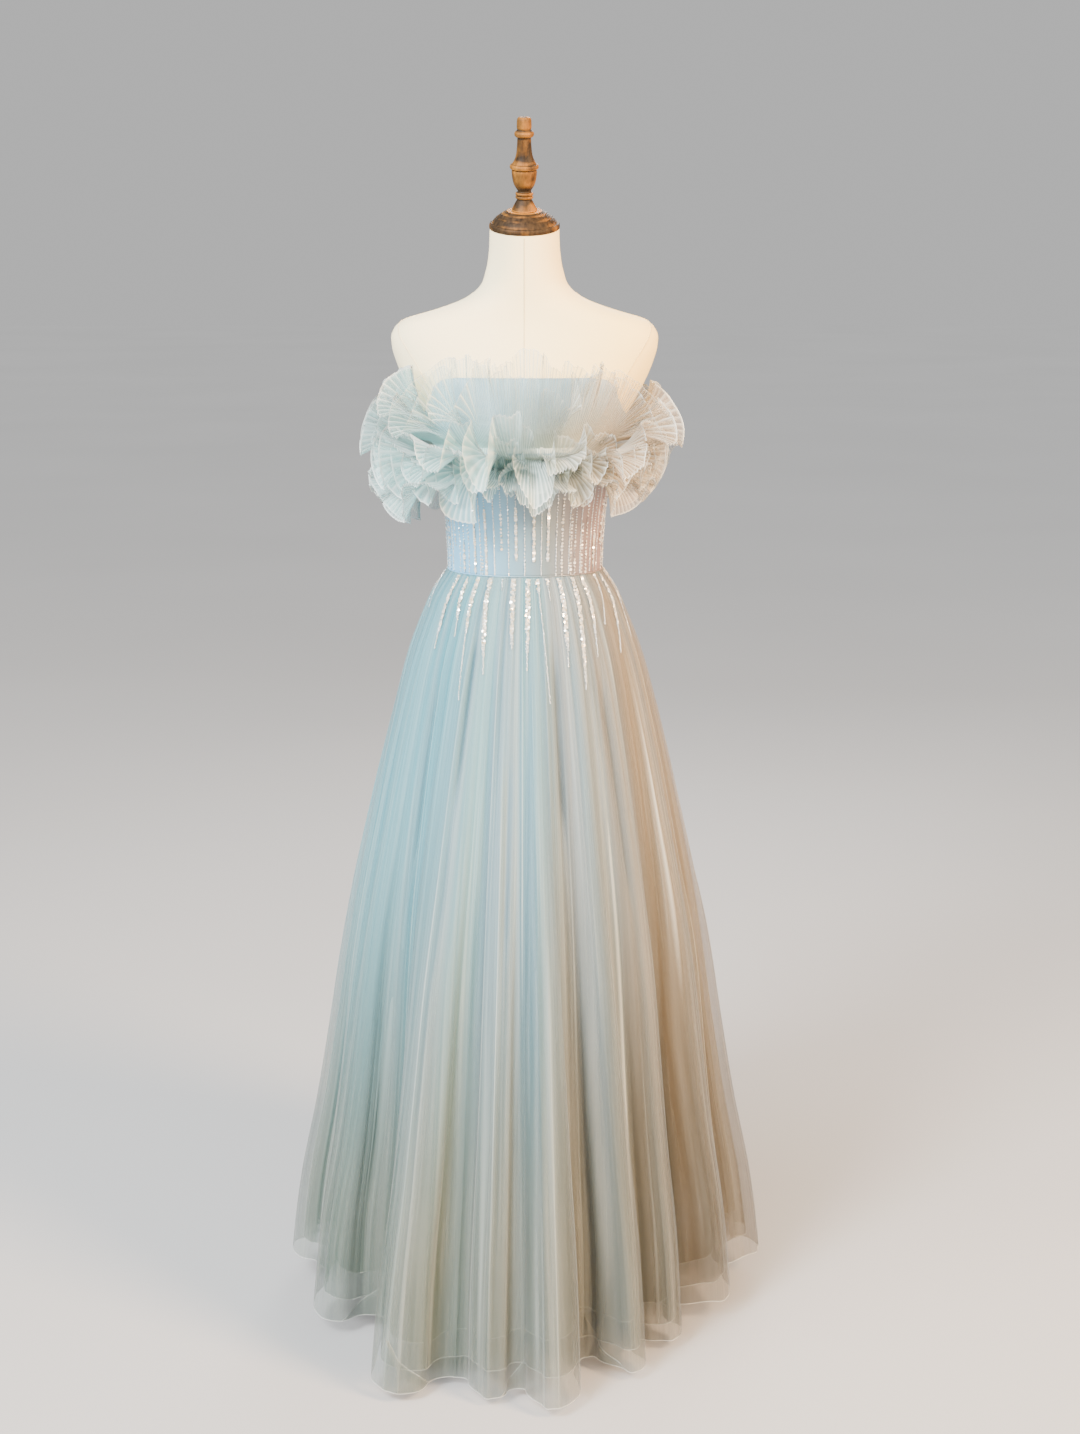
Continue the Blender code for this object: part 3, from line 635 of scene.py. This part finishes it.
BASE_PROFILE = [
    (0.1498, 0.0000), (0.1500, 0.0004), (0.1500, 0.0040), (0.1488, 0.0056), (0.1475, 0.0062),
    (0.0300, 0.0085), (0.0230, 0.0096), (0.0210, 0.0115), (0.0202, 0.0200), (0.0200, 0.0296),
    (0.0196, 0.0300),
]


def make_turnings(wood_finish, steel_finish):
    neck = Matrix.Translation((0, NECK_LEAN, NECK_TOP)) @ Matrix.Rotation(NECK_TILT, 4, "X")
    cap_place = neck @ Matrix.Translation((0, 0, GAP))
    cap = turned("neck_cap_turned", CAP_PROFILE, wood_finish, cap_place, keen=0.004)
    place(cap, "turned_wood", "neck_cap")
    finial_place = neck @ Matrix.Translation((0, 0, CAP_PROFILE[-1][1] + 2 * GAP))
    finial = turned("finial_turned", FINIAL_PROFILE, wood_finish, finial_place, gilt=0.22)
    place(finial, "turned_wood", "finial")
    foot, top = 0.0303, 0.7997
    pole = [(0.0123, foot), (0.0125, foot + 0.0003), (0.0125, top - 0.0003), (0.0123, top)]
    place(turned("pole_turned", pole, steel_finish, Matrix.Identity(4), 48), "stand_steel", "stand_pole")
    base = turned("base_turned", BASE_PROFILE, steel_finish, Matrix.Identity(4), 96)
    place(base, "stand_steel", "stand_base")


# The bodice


def make_bodice(material):
    panels = [
        ("front", -90, 90, 120, (0.42, 0.27)),
        ("back_right", 90, 178.7, 60, (0.19, 0.20)),
        ("back_left", 181.3, 270, 60, (0.19, 0.20)),
    ]
    for name, start, end, columns, cut in panels:

        def shape(across, down, start=start, end=end):
            angle = start + (end - start) * across
            height = neckline(angle) + (WAIST - neckline(angle)) * down
            return bodice_point(angle, height)

        panel = cloth_grid("satin_bodice_" + name, columns, 80, shape, material)
        wall(panel, BODICE_CLOTH)
        place(panel, "beaded_satin", "bodice_" + name)


def make_bodice_trim(material):
    """The rolled top edge, and the fine piping of the waist seam."""
    angle = np.linspace(181.5, 538.5, 260)
    edge = bodice_point(angle, neckline(angle), -0.0007)
    place(tube("neckline_roll", edge, 0.0011, material), "beaded_satin")
    turn = np.linspace(0, 360, 241)[:-1]
    waist = bodice_point(turn, WAIST, 0.0004)
    place(tube("waist_piping", waist, 0.0009, material, closed=True), "beaded_satin")


def round_bead():
    """A seed bead's mesh: few faces, because thousands are sewn on."""
    builder = bmesh.new()
    bmesh.ops.create_icosphere(builder, subdivisions=1, radius=1.0)
    return builder


def flat_sequin():
    """A cupped sequin that faces outwards at the centre front."""
    builder = bmesh.new()
    bmesh.ops.create_cone(builder, cap_ends=True, segments=8, radius1=0.72, radius2=1.0, depth=0.3)
    upright = Matrix.Rotation(math.pi / 2, 3, "X")
    bmesh.ops.rotate(builder, cent=(0, 0, 0), matrix=upright, verts=builder.verts)
    return builder


def sew_on(name, builder, centres, sizes, angles, material):
    """Many small pieces as one mesh: each is scaled, tilted, turned to its angle and put at its centre."""
    builder.verts.ensure_lookup_table()
    base = np.array([vert.co[:] for vert in builder.verts])
    faces = [[vert.index for vert in face.verts] for face in builder.faces]
    builder.free()
    count = len(centres)
    tilt = np.radians(DRAWS.normal(0, SEQUIN_TILT, (count, 1)))
    turn = np.radians(angles + DRAWS.normal(0, SEQUIN_TILT, count))[:, None]
    own = base[None] * sizes[:, None, :]
    y = own[..., 1] * np.cos(tilt) - own[..., 2] * np.sin(tilt)
    z = own[..., 1] * np.sin(tilt) + own[..., 2] * np.cos(tilt)
    x = own[..., 0] * np.cos(turn) - y * np.sin(turn)
    y = own[..., 0] * np.sin(turn) + y * np.cos(turn)
    points = np.stack([x, y, z], axis=-1) + centres[:, None, :]
    all_faces = [[i + k * len(base) for i in face] for k in range(count) for face in faces]
    mesh = bpy.data.meshes.new(name)
    mesh.from_pydata(points.reshape(-1, 3).tolist(), [], all_faces)
    mesh.materials.append(material)
    place(add_object(name, mesh), "beaded_satin")


BEAD_LINES = 66
SEQUIN_TILT = 24
BEAD_TOP = 1.233
# kind of line, pitch, radius, height against radius, whether it is of sequins
BEAD_KINDS = [
    ("seeds", 0.0022, 0.00105, 1.0, False),
    ("bugles", 0.0050, 0.00095, 2.7, False),
    ("seeds", 0.0022, 0.00115, 1.0, False),
    ("sequins", 0.0027, 0.00215, 1.0, True),
    ("spaced sequins", 0.0048, 0.00190, 1.0, True),
    ("spaced seeds", 0.0037, 0.00120, 1.0, False),
]


class SewnLines:
    """Collects beads and sequins, to be made as one mesh of each."""

    def __init__(self):
        self.rows = {False: [], True: []}

    def add(self, centres, sizes, angles, sequins):
        self.rows[sequins].append((centres, sizes, angles))

    def make(self, name, materials):
        for sequins, rows in self.rows.items():
            centres, sizes, angles = (np.concatenate(column) for column in zip(*rows))
            kind = "sequins" if sequins else "beads"
            builder = flat_sequin() if sequins else round_bead()
            sew_on(f"{name}_{kind}", builder, centres, sizes, angles, materials[kind])


def bead_line(lines, angle, bottom, top, kind):
    """Sew one line of beads or sequins up the bodice at an angle."""
    _, pitch, radius, tallness, sequins = BEAD_KINDS[kind]
    heights = np.arange(bottom, top, pitch)
    heights = heights + DRAWS.uniform(-0.12, 0.12, len(heights)) * pitch
    radii = radius * DRAWS.uniform(0.85, 1.15, len(heights))
    angles = np.full(len(heights), angle) + DRAWS.uniform(-0.12, 0.12, len(heights))
    centres = bodice_point(angles, heights, 0.0007 if sequins else 0.0005)
    lines.add(centres, np.stack([radii, radii, radii * tallness], axis=-1), angles, sequins)


def make_bodice_beads(materials):
    """Lines of seed beads, bugles and sequins, of uneven length, which run down the bodice to the waist."""
    panels = {"front": SewnLines(), "back_right": SewnLines(), "back_left": SewnLines()}
    for k in range(BEAD_LINES):
        angle = 360 * (k + 0.5) / BEAD_LINES - 90 + DRAWS.uniform(-0.7, 0.7)
        if abs(angle - 180) < 4:
            continue
        lines = panels["front" if angle < 90 else "back_right" if angle < 180 else "back_left"]
        bottom = WAIST + 0.0025
        if k % 2 == 0:
            bead_line(lines, angle, bottom, BEAD_TOP, int(DRAWS.integers(0, 3)))
            if DRAWS.random() < 0.35:
                short = bottom + DRAWS.uniform(0.02, 0.09)
                bead_line(lines, angle + 1.5, bottom, short, 4)
            continue
        low = bottom + DRAWS.choice([0.0, 0.0, 0.0, 0.02, 0.035])
        break_at = DRAWS.uniform(1.125, 1.200)
        bead_line(lines, angle, low, break_at, int(DRAWS.choice([3, 3, 4])))
        bead_line(lines, angle, break_at + 0.003, BEAD_TOP, int(DRAWS.choice([0, 5, 5, 4])))
    for side, lines in panels.items():
        lines.make("bodice_" + side, materials)


# The skirt


def fold_at(angle, flatness):
    """The hem radius of the main folds at an angle, and how far a fold's wall is tucked under its crest.

    flatness goes from 0, a plain wave, to 1, a flat crest and a flat valley with a steep wall between them.
    """
    angles, radii = FOLDS[:, 0], FOLDS[:, 1]
    wrapped = (angle - angles[0]) % 360 + angles[0]
    i = np.clip(np.searchsorted(angles, wrapped, side="right") - 1, 0, len(angles) - 2)
    share = (wrapped - angles[i]) / (angles[i + 1] - angles[i])
    wave = (1 - np.cos(math.pi * share)) / 2
    step = smooth(smooth(share))
    depth = radii[i + 1] - radii[i]
    tuck = np.sin(2 * math.pi * step) * np.clip(depth / -0.08, -1, 1)
    return radii[i] + depth * (wave + (step - wave) * flatness), tuck


def hem_height(angle):
    turn = np.radians(angle)
    return HEM_LOW + HEM_SIDE_LIFT * np.sin(turn) ** 4 + HEM_RIPPLE * (1 + np.sin(7 * turn)) / 2


class Gathers:
    """Narrow ridges round a skirt layer, uneven in place, depth and length."""

    def __init__(self, count, depth, seed, sharpness=2.4):
        draws = np.random.default_rng(seed)
        spacing = 360 / count
        self.centres = (np.arange(count) + draws.uniform(-0.36, 0.36, count)) * spacing
        self.depth = depth * (0.15 + 0.85 * draws.uniform(0, 1, count) ** 2.2)
        self.start = draws.choice([0.0, 0.0, 0.05, 0.2, 0.4], count)
        self.end = draws.choice([0.35, 0.7, 1.2, 1.2, 1.2], count)
        self.count, self.sharpness = count, sharpness
        self.lean = draws.uniform(-0.25, 0.25, count) * spacing

    def at(self, angle, share):
        """How far the ridges stand out at an angle and share of the length, and how near a top is."""
        wrapped = angle % 360
        lifted, nearness = np.zeros_like(wrapped), np.zeros_like(wrapped)
        first = np.searchsorted(self.centres, wrapped)
        for step in (-2, -1, 0, 1):
            k = (first + step) % self.count
            centre = self.centres[k] + self.lean[k] * share
            away = np.abs((wrapped - centre + 180) % 360 - 180) / (360 / self.count)
            profile = np.clip(1 - away, 0, 1) ** self.sharpness
            lasting = smooth((share - self.start[k]) / 0.15 + 0.2) * smooth((self.end[k] - share) / 0.3)
            lifted = np.maximum(lifted, profile * self.depth[k] * lasting)
            strength = profile**4 * lasting * self.depth[k] / self.depth.max()
            nearness = np.maximum(nearness, strength)
        return lifted, nearness


# angle, share of the length where it starts and ends, half width in degrees, depth
CREASES = [
    (15, 0.06, 0.36, 4.6, 0.010), (-6, 0.20, 0.50, 2.8, 0.007), (-25, 0.05, 0.30, 3.0, 0.009),
    (-48, 0.12, 0.42, 3.0, 0.010), (40, 0.10, 0.45, 3.0, 0.010), (66, 0.15, 0.50, 3.0, 0.008),
    (120, 0.08, 0.36, 3.0, 0.009), (155, 0.05, 0.30, 3.0, 0.010), (206, 0.10, 0.42, 3.0, 0.010),
    (240, 0.06, 0.34, 3.0, 0.009),
]


def crease_depth(angle, share):
    """How deep the cloth falls in between the gathers, in creases that narrow as they go down."""
    depth = np.zeros_like(share * angle)
    for centre, start, end, half_width, deepest in CREASES:
        along = np.clip((share - start) / (end - start), 0, 1)
        within = smooth(along / 0.25) * smooth((1 - along) / 0.3)
        away = np.abs((angle - centre + 180) % 360 - 180) / (half_width * (1 - 0.6 * along))
        depth = depth + deepest * within * np.clip(1 - away, 0, 1) ** 1.4
    return depth


def skirt_layer(waist_clearance, inset, fold_share, hem_lift, gathers, deep):
    """The shape of a gathered layer, by angle and share of its length."""
    top = WAIST - GAP

    def at(angle, share):
        hem = hem_height(angle) + hem_lift * (1 + 0.18 * np.sin(np.radians(5 * angle + 60)))
        height = top + (hem - top) * share
        flare = smooth_curve(height, FLARE[:, 0], FLARE[:, 1])
        drop = (top - height) / (top - HEM_LOW)
        out_x, out_y = around(angle)
        sway = 1.2 * np.sin(np.radians(4 * angle)) * np.sin(5 * share)
        radius, tuck = fold_at(angle + sway, 0.85 * smooth(share / 0.7))
        fold = fold_share * (radius - MEAN_HEM) * drop**FOLD_GROWTH
        aside = fold_share * FOLD_TUCK * tuck * smooth((share - 0.2) / 0.6)
        fine, near = gathers.at(angle, share)
        big, big_near = deep.at(angle, share)
        fold = fold + fine * np.interp(share, (0, 0.03, 0.3, 1), (0.35, 0.8, 0.9, 1.0))
        fold = fold + big * smooth(share / 0.5) - crease_depth(angle, share)
        waist_point = form_point(angle, top, waist_clearance)
        x = waist_point[..., 0] * (1 - flare) + out_x * (MEAN_HEM - inset) * flare + out_x * fold
        y = waist_point[..., 1] * (1 - flare) + out_y * (MEAN_HEM - inset) * flare + out_y * fold
        x, y = x - out_y * aside, y + out_x * aside
        return np.stack([x, y, height], axis=-1), np.maximum(near, big_near * smooth(share / 0.3))

    return at


OUTER_LAYER = skirt_layer(0.0037, 0.0, 1.0, 0.0, Gathers(120, 0.0060, 3), Gathers(40, 0.014, 4, 3.2))
MIDDLE_LAYER = skirt_layer(0.0030, 0.012, 0.9, 0.026, Gathers(90, 0.0060, 8), Gathers(34, 0.010, 9, 3.0))
INNER_LAYER = skirt_layer(0.0022, 0.025, 0.8, 0.060, Gathers(80, 0.0060, 5), Gathers(30, 0.010, 6, 3.0))
SKIRT_CUT_LENGTH = 1.12
# name, replaced node, slot, shape, finish, the cut's hem, waist and length, columns all round, rows
TULLE_LAYERS = [
    ("tulle_skirt", "skirt", "tulle", OUTER_LAYER, "outer", (3.1, 1.6, SKIRT_CUT_LENGTH), 860, 84),
    ("tulle_middle", "under_tulle", "under_tulle", MIDDLE_LAYER, "middle", (2.9, 1.5, 1.08), 600, 64),
    ("tulle_underskirt", "under_tulle", "under_tulle", INNER_LAYER, "inner", (2.7, 1.4, 1.05), 540, 64),
]


def make_tulle(finishes):
    for name, node, slot, layer, finish, (hem_cut, waist_cut, length), columns, rows in TULLE_LAYERS:
        for side, start, end in SKIRT_PANELS:

            def shape(across, down, start=start, end=end, layer=layer, rows=rows):
                share = np.minimum((down * rows / (rows - 1)) ** 1.35, HEM_LINE)
                share = np.where(down > 1 - 0.5 / rows, 1.0, share)
                angle = start + (end - start) * across
                points, ridge = layer(angle, share)
                return points, ridge, (share > HEM_LINE).astype(float), angle / 360

            share = (end - start) / 360
            extras = ["ridge", "hem", "turn"]
            panel = cloth_grid(f"{name}_{side}", int(columns * share), rows, shape, finishes[finish], extras)
            place(panel, slot, f"{node}_{side}")


# Corners of the outer hem that are folded back: angle, half width in degrees, share of the length, side
HEM_TURNS = [
    (-24, 3.6, 0.066, 1), (-2, 3.0, 0.045, -1), (20, 3.4, 0.058, 1), (-52, 3.0, 0.050, -1),
    (47, 3.0, 0.045, -1),
]


def make_hem_turns(material):
    """Triangular flaps, each with a pale slanting edge, partly cloth folded double and partly painted
    highlight, just over the outer layer.
    """
    for k, (middle, half_width, height, side) in enumerate(HEM_TURNS):

        def shape(across, down, middle=middle, half_width=half_width, height=height, side=side):
            up = 0.97 * (1 - down)
            angle = middle + side * half_width * (2 * across * (1 - up) - 1)
            points = OUTER_LAYER(angle, HEM_LINE - height * up)[0]
            out_x, out_y = around(angle)
            lifted = 0.0012 + 0.004 * np.sin(math.pi * across) * up
            points = points + np.stack([out_x, out_y, np.zeros_like(out_x)], axis=-1) * lifted[:, None]
            return points, np.zeros_like(up), 0.5 * (across > 0.97), angle / 360

        flap = cloth_grid(f"hem_turn_{k + 1}", 36, 24, shape, material, ["ridge", "hem", "turn"])
        place(flap, "tulle", "skirt_front")
        angles = np.linspace(middle - side * half_width, middle, 60)
        half_way_up = OUTER_LAYER(angles, HEM_LINE - height / 2)[0]


LINING_HEM_HEIGHT, LINING_HEM_RADIUS = 0.105, 0.222
LINING_LEAVES_HIP = 0.90


def make_lining(material):
    """The A-line lining: on the hip it lies close, and below it swings in soft waves."""
    top = WAIST - GAP

    def lining(angle, share):
        height = top + (LINING_HEM_HEIGHT - top) * share
        hip_share = np.interp(height, (LINING_LEAVES_HIP, top), (1, 0))
        on_form = form_point(angle, np.maximum(height, LINING_LEAVES_HIP), 0.0013 + 0.0025 * hip_share)
        fall = np.interp(height, (LINING_HEM_HEIGHT, LINING_LEAVES_HIP), (1, 0))
        out_x, out_y = around(angle)
        wave = (0.009 * np.cos(np.radians(12 * angle)) + 0.002 * np.sin(np.radians(31 * angle))) * fall
        x = on_form[..., 0] * (1 - fall) + out_x * (LINING_HEM_RADIUS * fall + wave)
        y = on_form[..., 1] * (1 - fall) + out_y * (LINING_HEM_RADIUS * fall + wave)
        return np.stack([x, y, height], axis=-1)

    for side, start, end in (("front", -90, 90), ("back", 90, 270)):

        def shape(across, down, start=start, end=end):
            return lining(start + (end - start) * across, down)

        panel = cloth_grid("satin_lining_" + side, 180, 60, shape, material)
        place(panel, "lining_satin", "lining_" + side)


# Sequin drips on the skirt: angle at the waist, drop, change of angle on the way, share that is wide
DRIPS = [
    (-88, 0.054, 14, 0.2), (-54, 0.101, 1, 0.7), (-44, 0.081, 5, 0.6), (-34, 0.160, 5, 0.4),
    (-24, 0.124, 5, 0.7), (-15, 0.018, 1, 0.2), (-7, 0.091, 1, 0.8), (2, 0.118, -1, 0.7),
    (8, 0.163, 3, 0.1), (15, 0.030, 0, 0.3), (24, 0.117, -3, 0.7), (35, 0.147, -6, 0.8),
    (44, 0.108, -5, 0.6), (60, 0.068, -10, 0.3), (69, 0.110, -11, 0.6), (84, 0.095, -8, 0.4),
    (99, 0.060, 2, 0.3), (112, 0.120, 3, 0.6), (123, 0.080, 1, 0.5), (134, 0.145, 4, 0.5),
    (146, 0.060, 0, 0.3), (156, 0.105, 2, 0.7), (167, 0.130, 2, 0.5), (193, 0.125, -2, 0.6),
    (204, 0.065, 0, 0.3), (214, 0.150, -3, 0.6), (226, 0.085, -1, 0.5), (237, 0.115, -3, 0.7),
    (250, 0.060, -2, 0.3), (261, 0.100, -3, 0.5),
]
DRIP_PITCH = 0.0021


def make_drips(materials, layer):
    """Sequins that run down from the waist seam over the first folds, thinning to one thread of beads."""
    lines = SewnLines()
    for angle, drop, lean, wide in DRIPS:
        fallen = np.arange(0.004, drop, DRIP_PITCH)
        share = fallen / drop
        for strand in (-1, 0, 1):
            spread = np.clip(1.15 - share / max(wide, 0.05) * 0.6, 0, 1) if strand else np.ones_like(share)
            kept = DRAWS.random(len(share)) < (0.85 * (spread > 0.45) if strand else 1.0)
            angles = angle + lean * share + strand * 0.85 * spread + DRAWS.uniform(-0.2, 0.2, len(share))
            angles, down = angles[kept], fallen[kept] / (WAIST - HEM_LOW)
            if not len(angles):
                continue
            points = layer(angles, down)[0]
            out_x, out_y = around(angles)
            points = points + np.stack([out_x, out_y, np.full_like(out_x, 0.5)], axis=-1) * 0.0009
            sequins = share[kept] < wide
            sequin_radii = DRAWS.uniform(0.0013, 0.0019, len(angles))
            bead_radii = DRAWS.uniform(0.0009, 0.0012, len(angles))
            radii = np.where(sequins, sequin_radii, bead_radii)
            sizes = np.stack([radii] * 3, axis=-1)
            for flat in (True, False):
                chosen = sequins == flat
                if chosen.any():
                    lines.add(points[chosen], sizes[chosen], angles[chosen], flat)
    lines.make("skirt_drip", materials)


# The ruffle

# tier, root height, then elevation and length at the front, side and back
RUFFLE_TIERS = {
    "upper": (1.262, (66, 30, 46), (0.126, 0.095, 0.098)),
    "middle": (1.248, (20, 2, 8), (0.092, 0.084, 0.088)),
    "lower": (1.234, (-22, -30, -38), (0.076, 0.086, 0.084)),
}
# name, tier, lift, share of length, waves all round, phase, swing at front and elsewhere, curl, lopsidedness
RUFFLE_STRIPS = [
    ("upper", "upper", 6, 1.0, 9, 0.4, 9, 24, 0.010, 0.05),
    ("upper_inner", "upper", -16, 0.94, 11, 2.1, 16, 22, 0.010, 0.05),
    ("middle", "middle", -2, 1.0, 13, 1.2, 25, 24, 0.010, 0.10),
    ("middle_inner", "middle", -18, 0.88, 17, 3.9, 27, 22, 0.010, 0.12),
    ("cluster", "lower", 20, 0.86, 21, 2.6, 27, 20, 0.008, 0.10),
    ("filling", "lower", 34, 0.55, 31, 0.9, 36, 20, 0.004, 0.0),
    ("lower", "lower", -4, 1.0, 13, 5.0, 20, 22, 0.010, 0.16),
]
RUFFLE_PANELS = [("front", -90, 90), ("back_right", 90, 174), ("back_left", 186, 270)]
FINE_PLEATS = 430


def front_side_back(values, angle):
    front, side, back = values
    turn = np.radians(angle)
    end = np.where(np.cos(turn) > 0, front, back)
    return end + (side - end) * np.sin(turn) ** 4


def crumple(turn, phase):
    """An uneven ripple between about -1 and 1, from a few waves that don't fall in step."""
    waves = [(23, 0.8), (38, 0.9), (61, 0.7), (97, 0.5)]
    return sum(size * np.sin(count * turn + phase * (count % 7)) for count, size in waves) / 1.6


def strip_shape(strip):
    """The shape of one pleated strip: rays from its root, swung into folds that curl over in front."""
    _, tier, lift, scale, waves, phase, swing_front, swing_round, curl, lopsided = strip
    root, elevations, lengths = RUFFLE_TIERS[tier]

    def at(angle, share, zigzag):
        turn = np.radians(angle)
        in_front = smooth((np.cos(turn - 0.15) - 0.66) / 0.28)
        wave = waves * turn + phase + 1.1 * np.sin(3 * turn + phase) + 0.8 * np.sin(7 * turn + 2 * phase)
        size = 1 + 0.35 * np.sin(5 * turn + 2 * phase)
        swing = swing_round + (swing_front - swing_round) * in_front
        swung = swing * size * (np.sin(wave) + 0.3 * np.sin(2 * wave + 1))
        small = 4.5 * crumple(turn, phase) * (0.3 + 0.9 * in_front)
        elevation = front_side_back(elevations, angle) + lift + swung * share**0.9 + small * share**2
        tilt = np.radians(elevation)
        out_x, out_y = around(angle)
        reach = scale * front_side_back(lengths, angle) * (1 - lopsided * out_x)
        uneven = 0.05 * np.sin(wave / 2 + phase) + (0.012 + 0.03 * in_front) * crumple(turn, phase + 2)
        reach = reach * (1 + uneven) * share
        pleat = (0.0004 + 0.0014 * share) * zigzag * smooth(share / 0.05)
        curled = curl * (1 - 0.4 * in_front)
        ripple = (0.0008 + 0.002 * in_front) * crumple(turn, phase + 5) * share**2
        along = -curled * size * np.sin(2 * wave) * share**1.3 + ripple
        root_point = bodice_point(angle, root, 0.0004)
        out = np.cos(tilt) * reach - np.sin(tilt) * pleat
        up = np.sin(tilt) * reach + np.cos(tilt) * pleat
        x = root_point[:, 0] + out_x * out - out_y * along
        y = root_point[:, 1] + out_y * out + out_x * along
        return np.stack([x, y, root_point[:, 2] + up], axis=-1)

    return at


def make_ruffle_band(material):
    """The finely pleated band on the bodice that the tiers are sewn to."""
    top, bottom = 1.266, BEAD_TOP - 0.003
    for side, start, end in RUFFLE_PANELS:

        def shape(across, down, start=start, end=end):
            angle = start + (end - start) * across
            zigzag = np.abs((across * (end - start) / 1.2) % 1 * 2 - 1)
            points = bodice_point(angle, top + (bottom - top) * down, 0.0003 * (1 + zigzag))
            return points, zigzag, np.zeros_like(down * angle)

        columns = round((end - start) / 0.6)
        panel = cloth_grid(f"ruffle_band_{side}", columns, 4, shape, material, ["pleat", "reach"])
        place(panel, "pleated_organza", f"ruffle_upper_{side}")


def make_ruffles(material):
    for strip in RUFFLE_STRIPS:
        name, tier = strip[:2]
        strip_at = strip_shape(strip)
        for side, start, end in RUFFLE_PANELS:
            pleats = round(FINE_PLEATS * (end - start) / 360)

            def shape(across, down, name=name, start=start, end=end, pleats=pleats, strip_at=strip_at):
                angle = start + (end - start) * across
                zigzag = np.abs((across * pleats) % 1 * 2 - 1) * 2 - 1
                points = strip_at(angle, down, zigzag)
                chest = smooth((np.cos(np.radians(angle)) - 0.3) / 0.4) * smooth(down / 0.4)
                edge = smooth((down - 0.975) / 0.02)
                return points, (zigzag + 1) / 2, edge, down, chest * name.startswith("upper")

            extras = ["pleat", "edge", "reach", "veil"]
            rows = round(24 * strip[3])
            panel = cloth_grid(f"organza_{name}_{side}", pleats * 2, rows, shape, material, extras)
            place(panel, "pleated_organza", f"ruffle_{tier}_{side}")


# The stage


def make_stage(material):
    builder = bmesh.new()
    bmesh.ops.create_grid(builder, x_segments=4, y_segments=4, size=30)
    floor = add_piece("floor", builder, material)


# name, place, height that it points to, width, power, colour
LAMPS = [
    ("soft_front_left", (-1.7, -2.4, 3.0), 1.3, 1.2, 330, (0.96, 0.98, 1.0)),
    ("soft_front_right", (2.2, -1.6, 2.4), 1.3, 1.0, 380, (1.0, 0.66, 0.38)),
    ("soft_back", (0.4, 2.6, 2.8), 1.2, 1.4, 80, (1.0, 0.98, 0.96)),
]
SUN_POWER, SUN_SOFTNESS, SUN_FALLS = 3.2, math.radians(50), (0.60, 0.64, -1.0)
SKY = 0.56
CAMERA_PLACE, CAMERA_PITCH = (0.021, -3.0, 1.56), math.radians(77)
PHOTO_HEIGHT, FOCAL_PIXELS = 1434, 2157


def facing(direction):
    return Vector(direction).to_track_quat("-Z", "Y").to_euler()


def make_light_and_camera():
    for name, spot, aim, width, power, colour in LAMPS:
        data = bpy.data.lights.new(name, "AREA")
        data.shape, data.size, data.energy, data.color = "DISK", width, power, colour
        lamp = add_object(name, data)
        lamp.location = spot
        lamp.rotation_euler = facing(Vector((0, 0, aim)) - Vector(spot))
    data = bpy.data.lights.new("soft_sun", "SUN")
    data.energy, data.angle = SUN_POWER, SUN_SOFTNESS
    add_object("soft_sun", data).rotation_euler = facing(SUN_FALLS)
    world = bpy.data.worlds.new("studio")
    world.use_nodes = True
    world.node_tree.nodes["Background"].inputs["Color"].default_value = (SKY, SKY, SKY, 1)
    bpy.context.scene.world = world
    data = bpy.data.cameras.new("view")
    data.sensor_width = 36
    data.lens = FOCAL_PIXELS / PHOTO_HEIGHT * data.sensor_width
    camera = add_object("view", data)
    camera.location = CAMERA_PLACE
    camera.rotation_euler = (CAMERA_PITCH, 0, 0)
    bpy.context.scene.camera = camera


def finish_zip():
    """The zip's own solids keep their shape and take finer finishes."""
    tape = zip_finish("zip_tape", (0.40, 0.50, 0.60), 0.0)
    metal = zip_finish("painted_zip_metal", (0.55, 0.62, 0.68), 0.8)
    for node, material in (("zip_placket", tape), ("zip_slider", metal), ("zip_pull", metal)):
        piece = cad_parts[node]
        piece.data.materials.clear()
        piece.data.materials.append(material)


def main():
    satin, thread = bodice_satin(), jersey()
    finishes = {
        "outer": tulle("sheer_tulle", 0.40, 0.72),
        "middle": tulle("middle_tulle", 0.52, 0.80),
        "inner": tulle("dense_tulle", 0.84, 0.95),
    }
    make_light_and_camera()
    make_stage(floor_paint())
    make_form(thread)
    # The seams take a darker copy of the jersey as painted shade.
    make_form_seams(jersey("seam_thread_painted_shade", 0.62))
    make_turnings(wood(), steel())
    make_bodice(satin)
    make_bodice_trim(satin)
    sewn = sewn_finishes()
    make_bodice_beads(sewn)
    make_lining(lining_satin())
    make_tulle(finishes)
    make_hem_turns(finishes["outer"])
    make_drips(sewn, OUTER_LAYER)
    pleated = organza()
    make_ruffle_band(pleated)
    make_ruffles(pleated)
    finish_zip()


main()
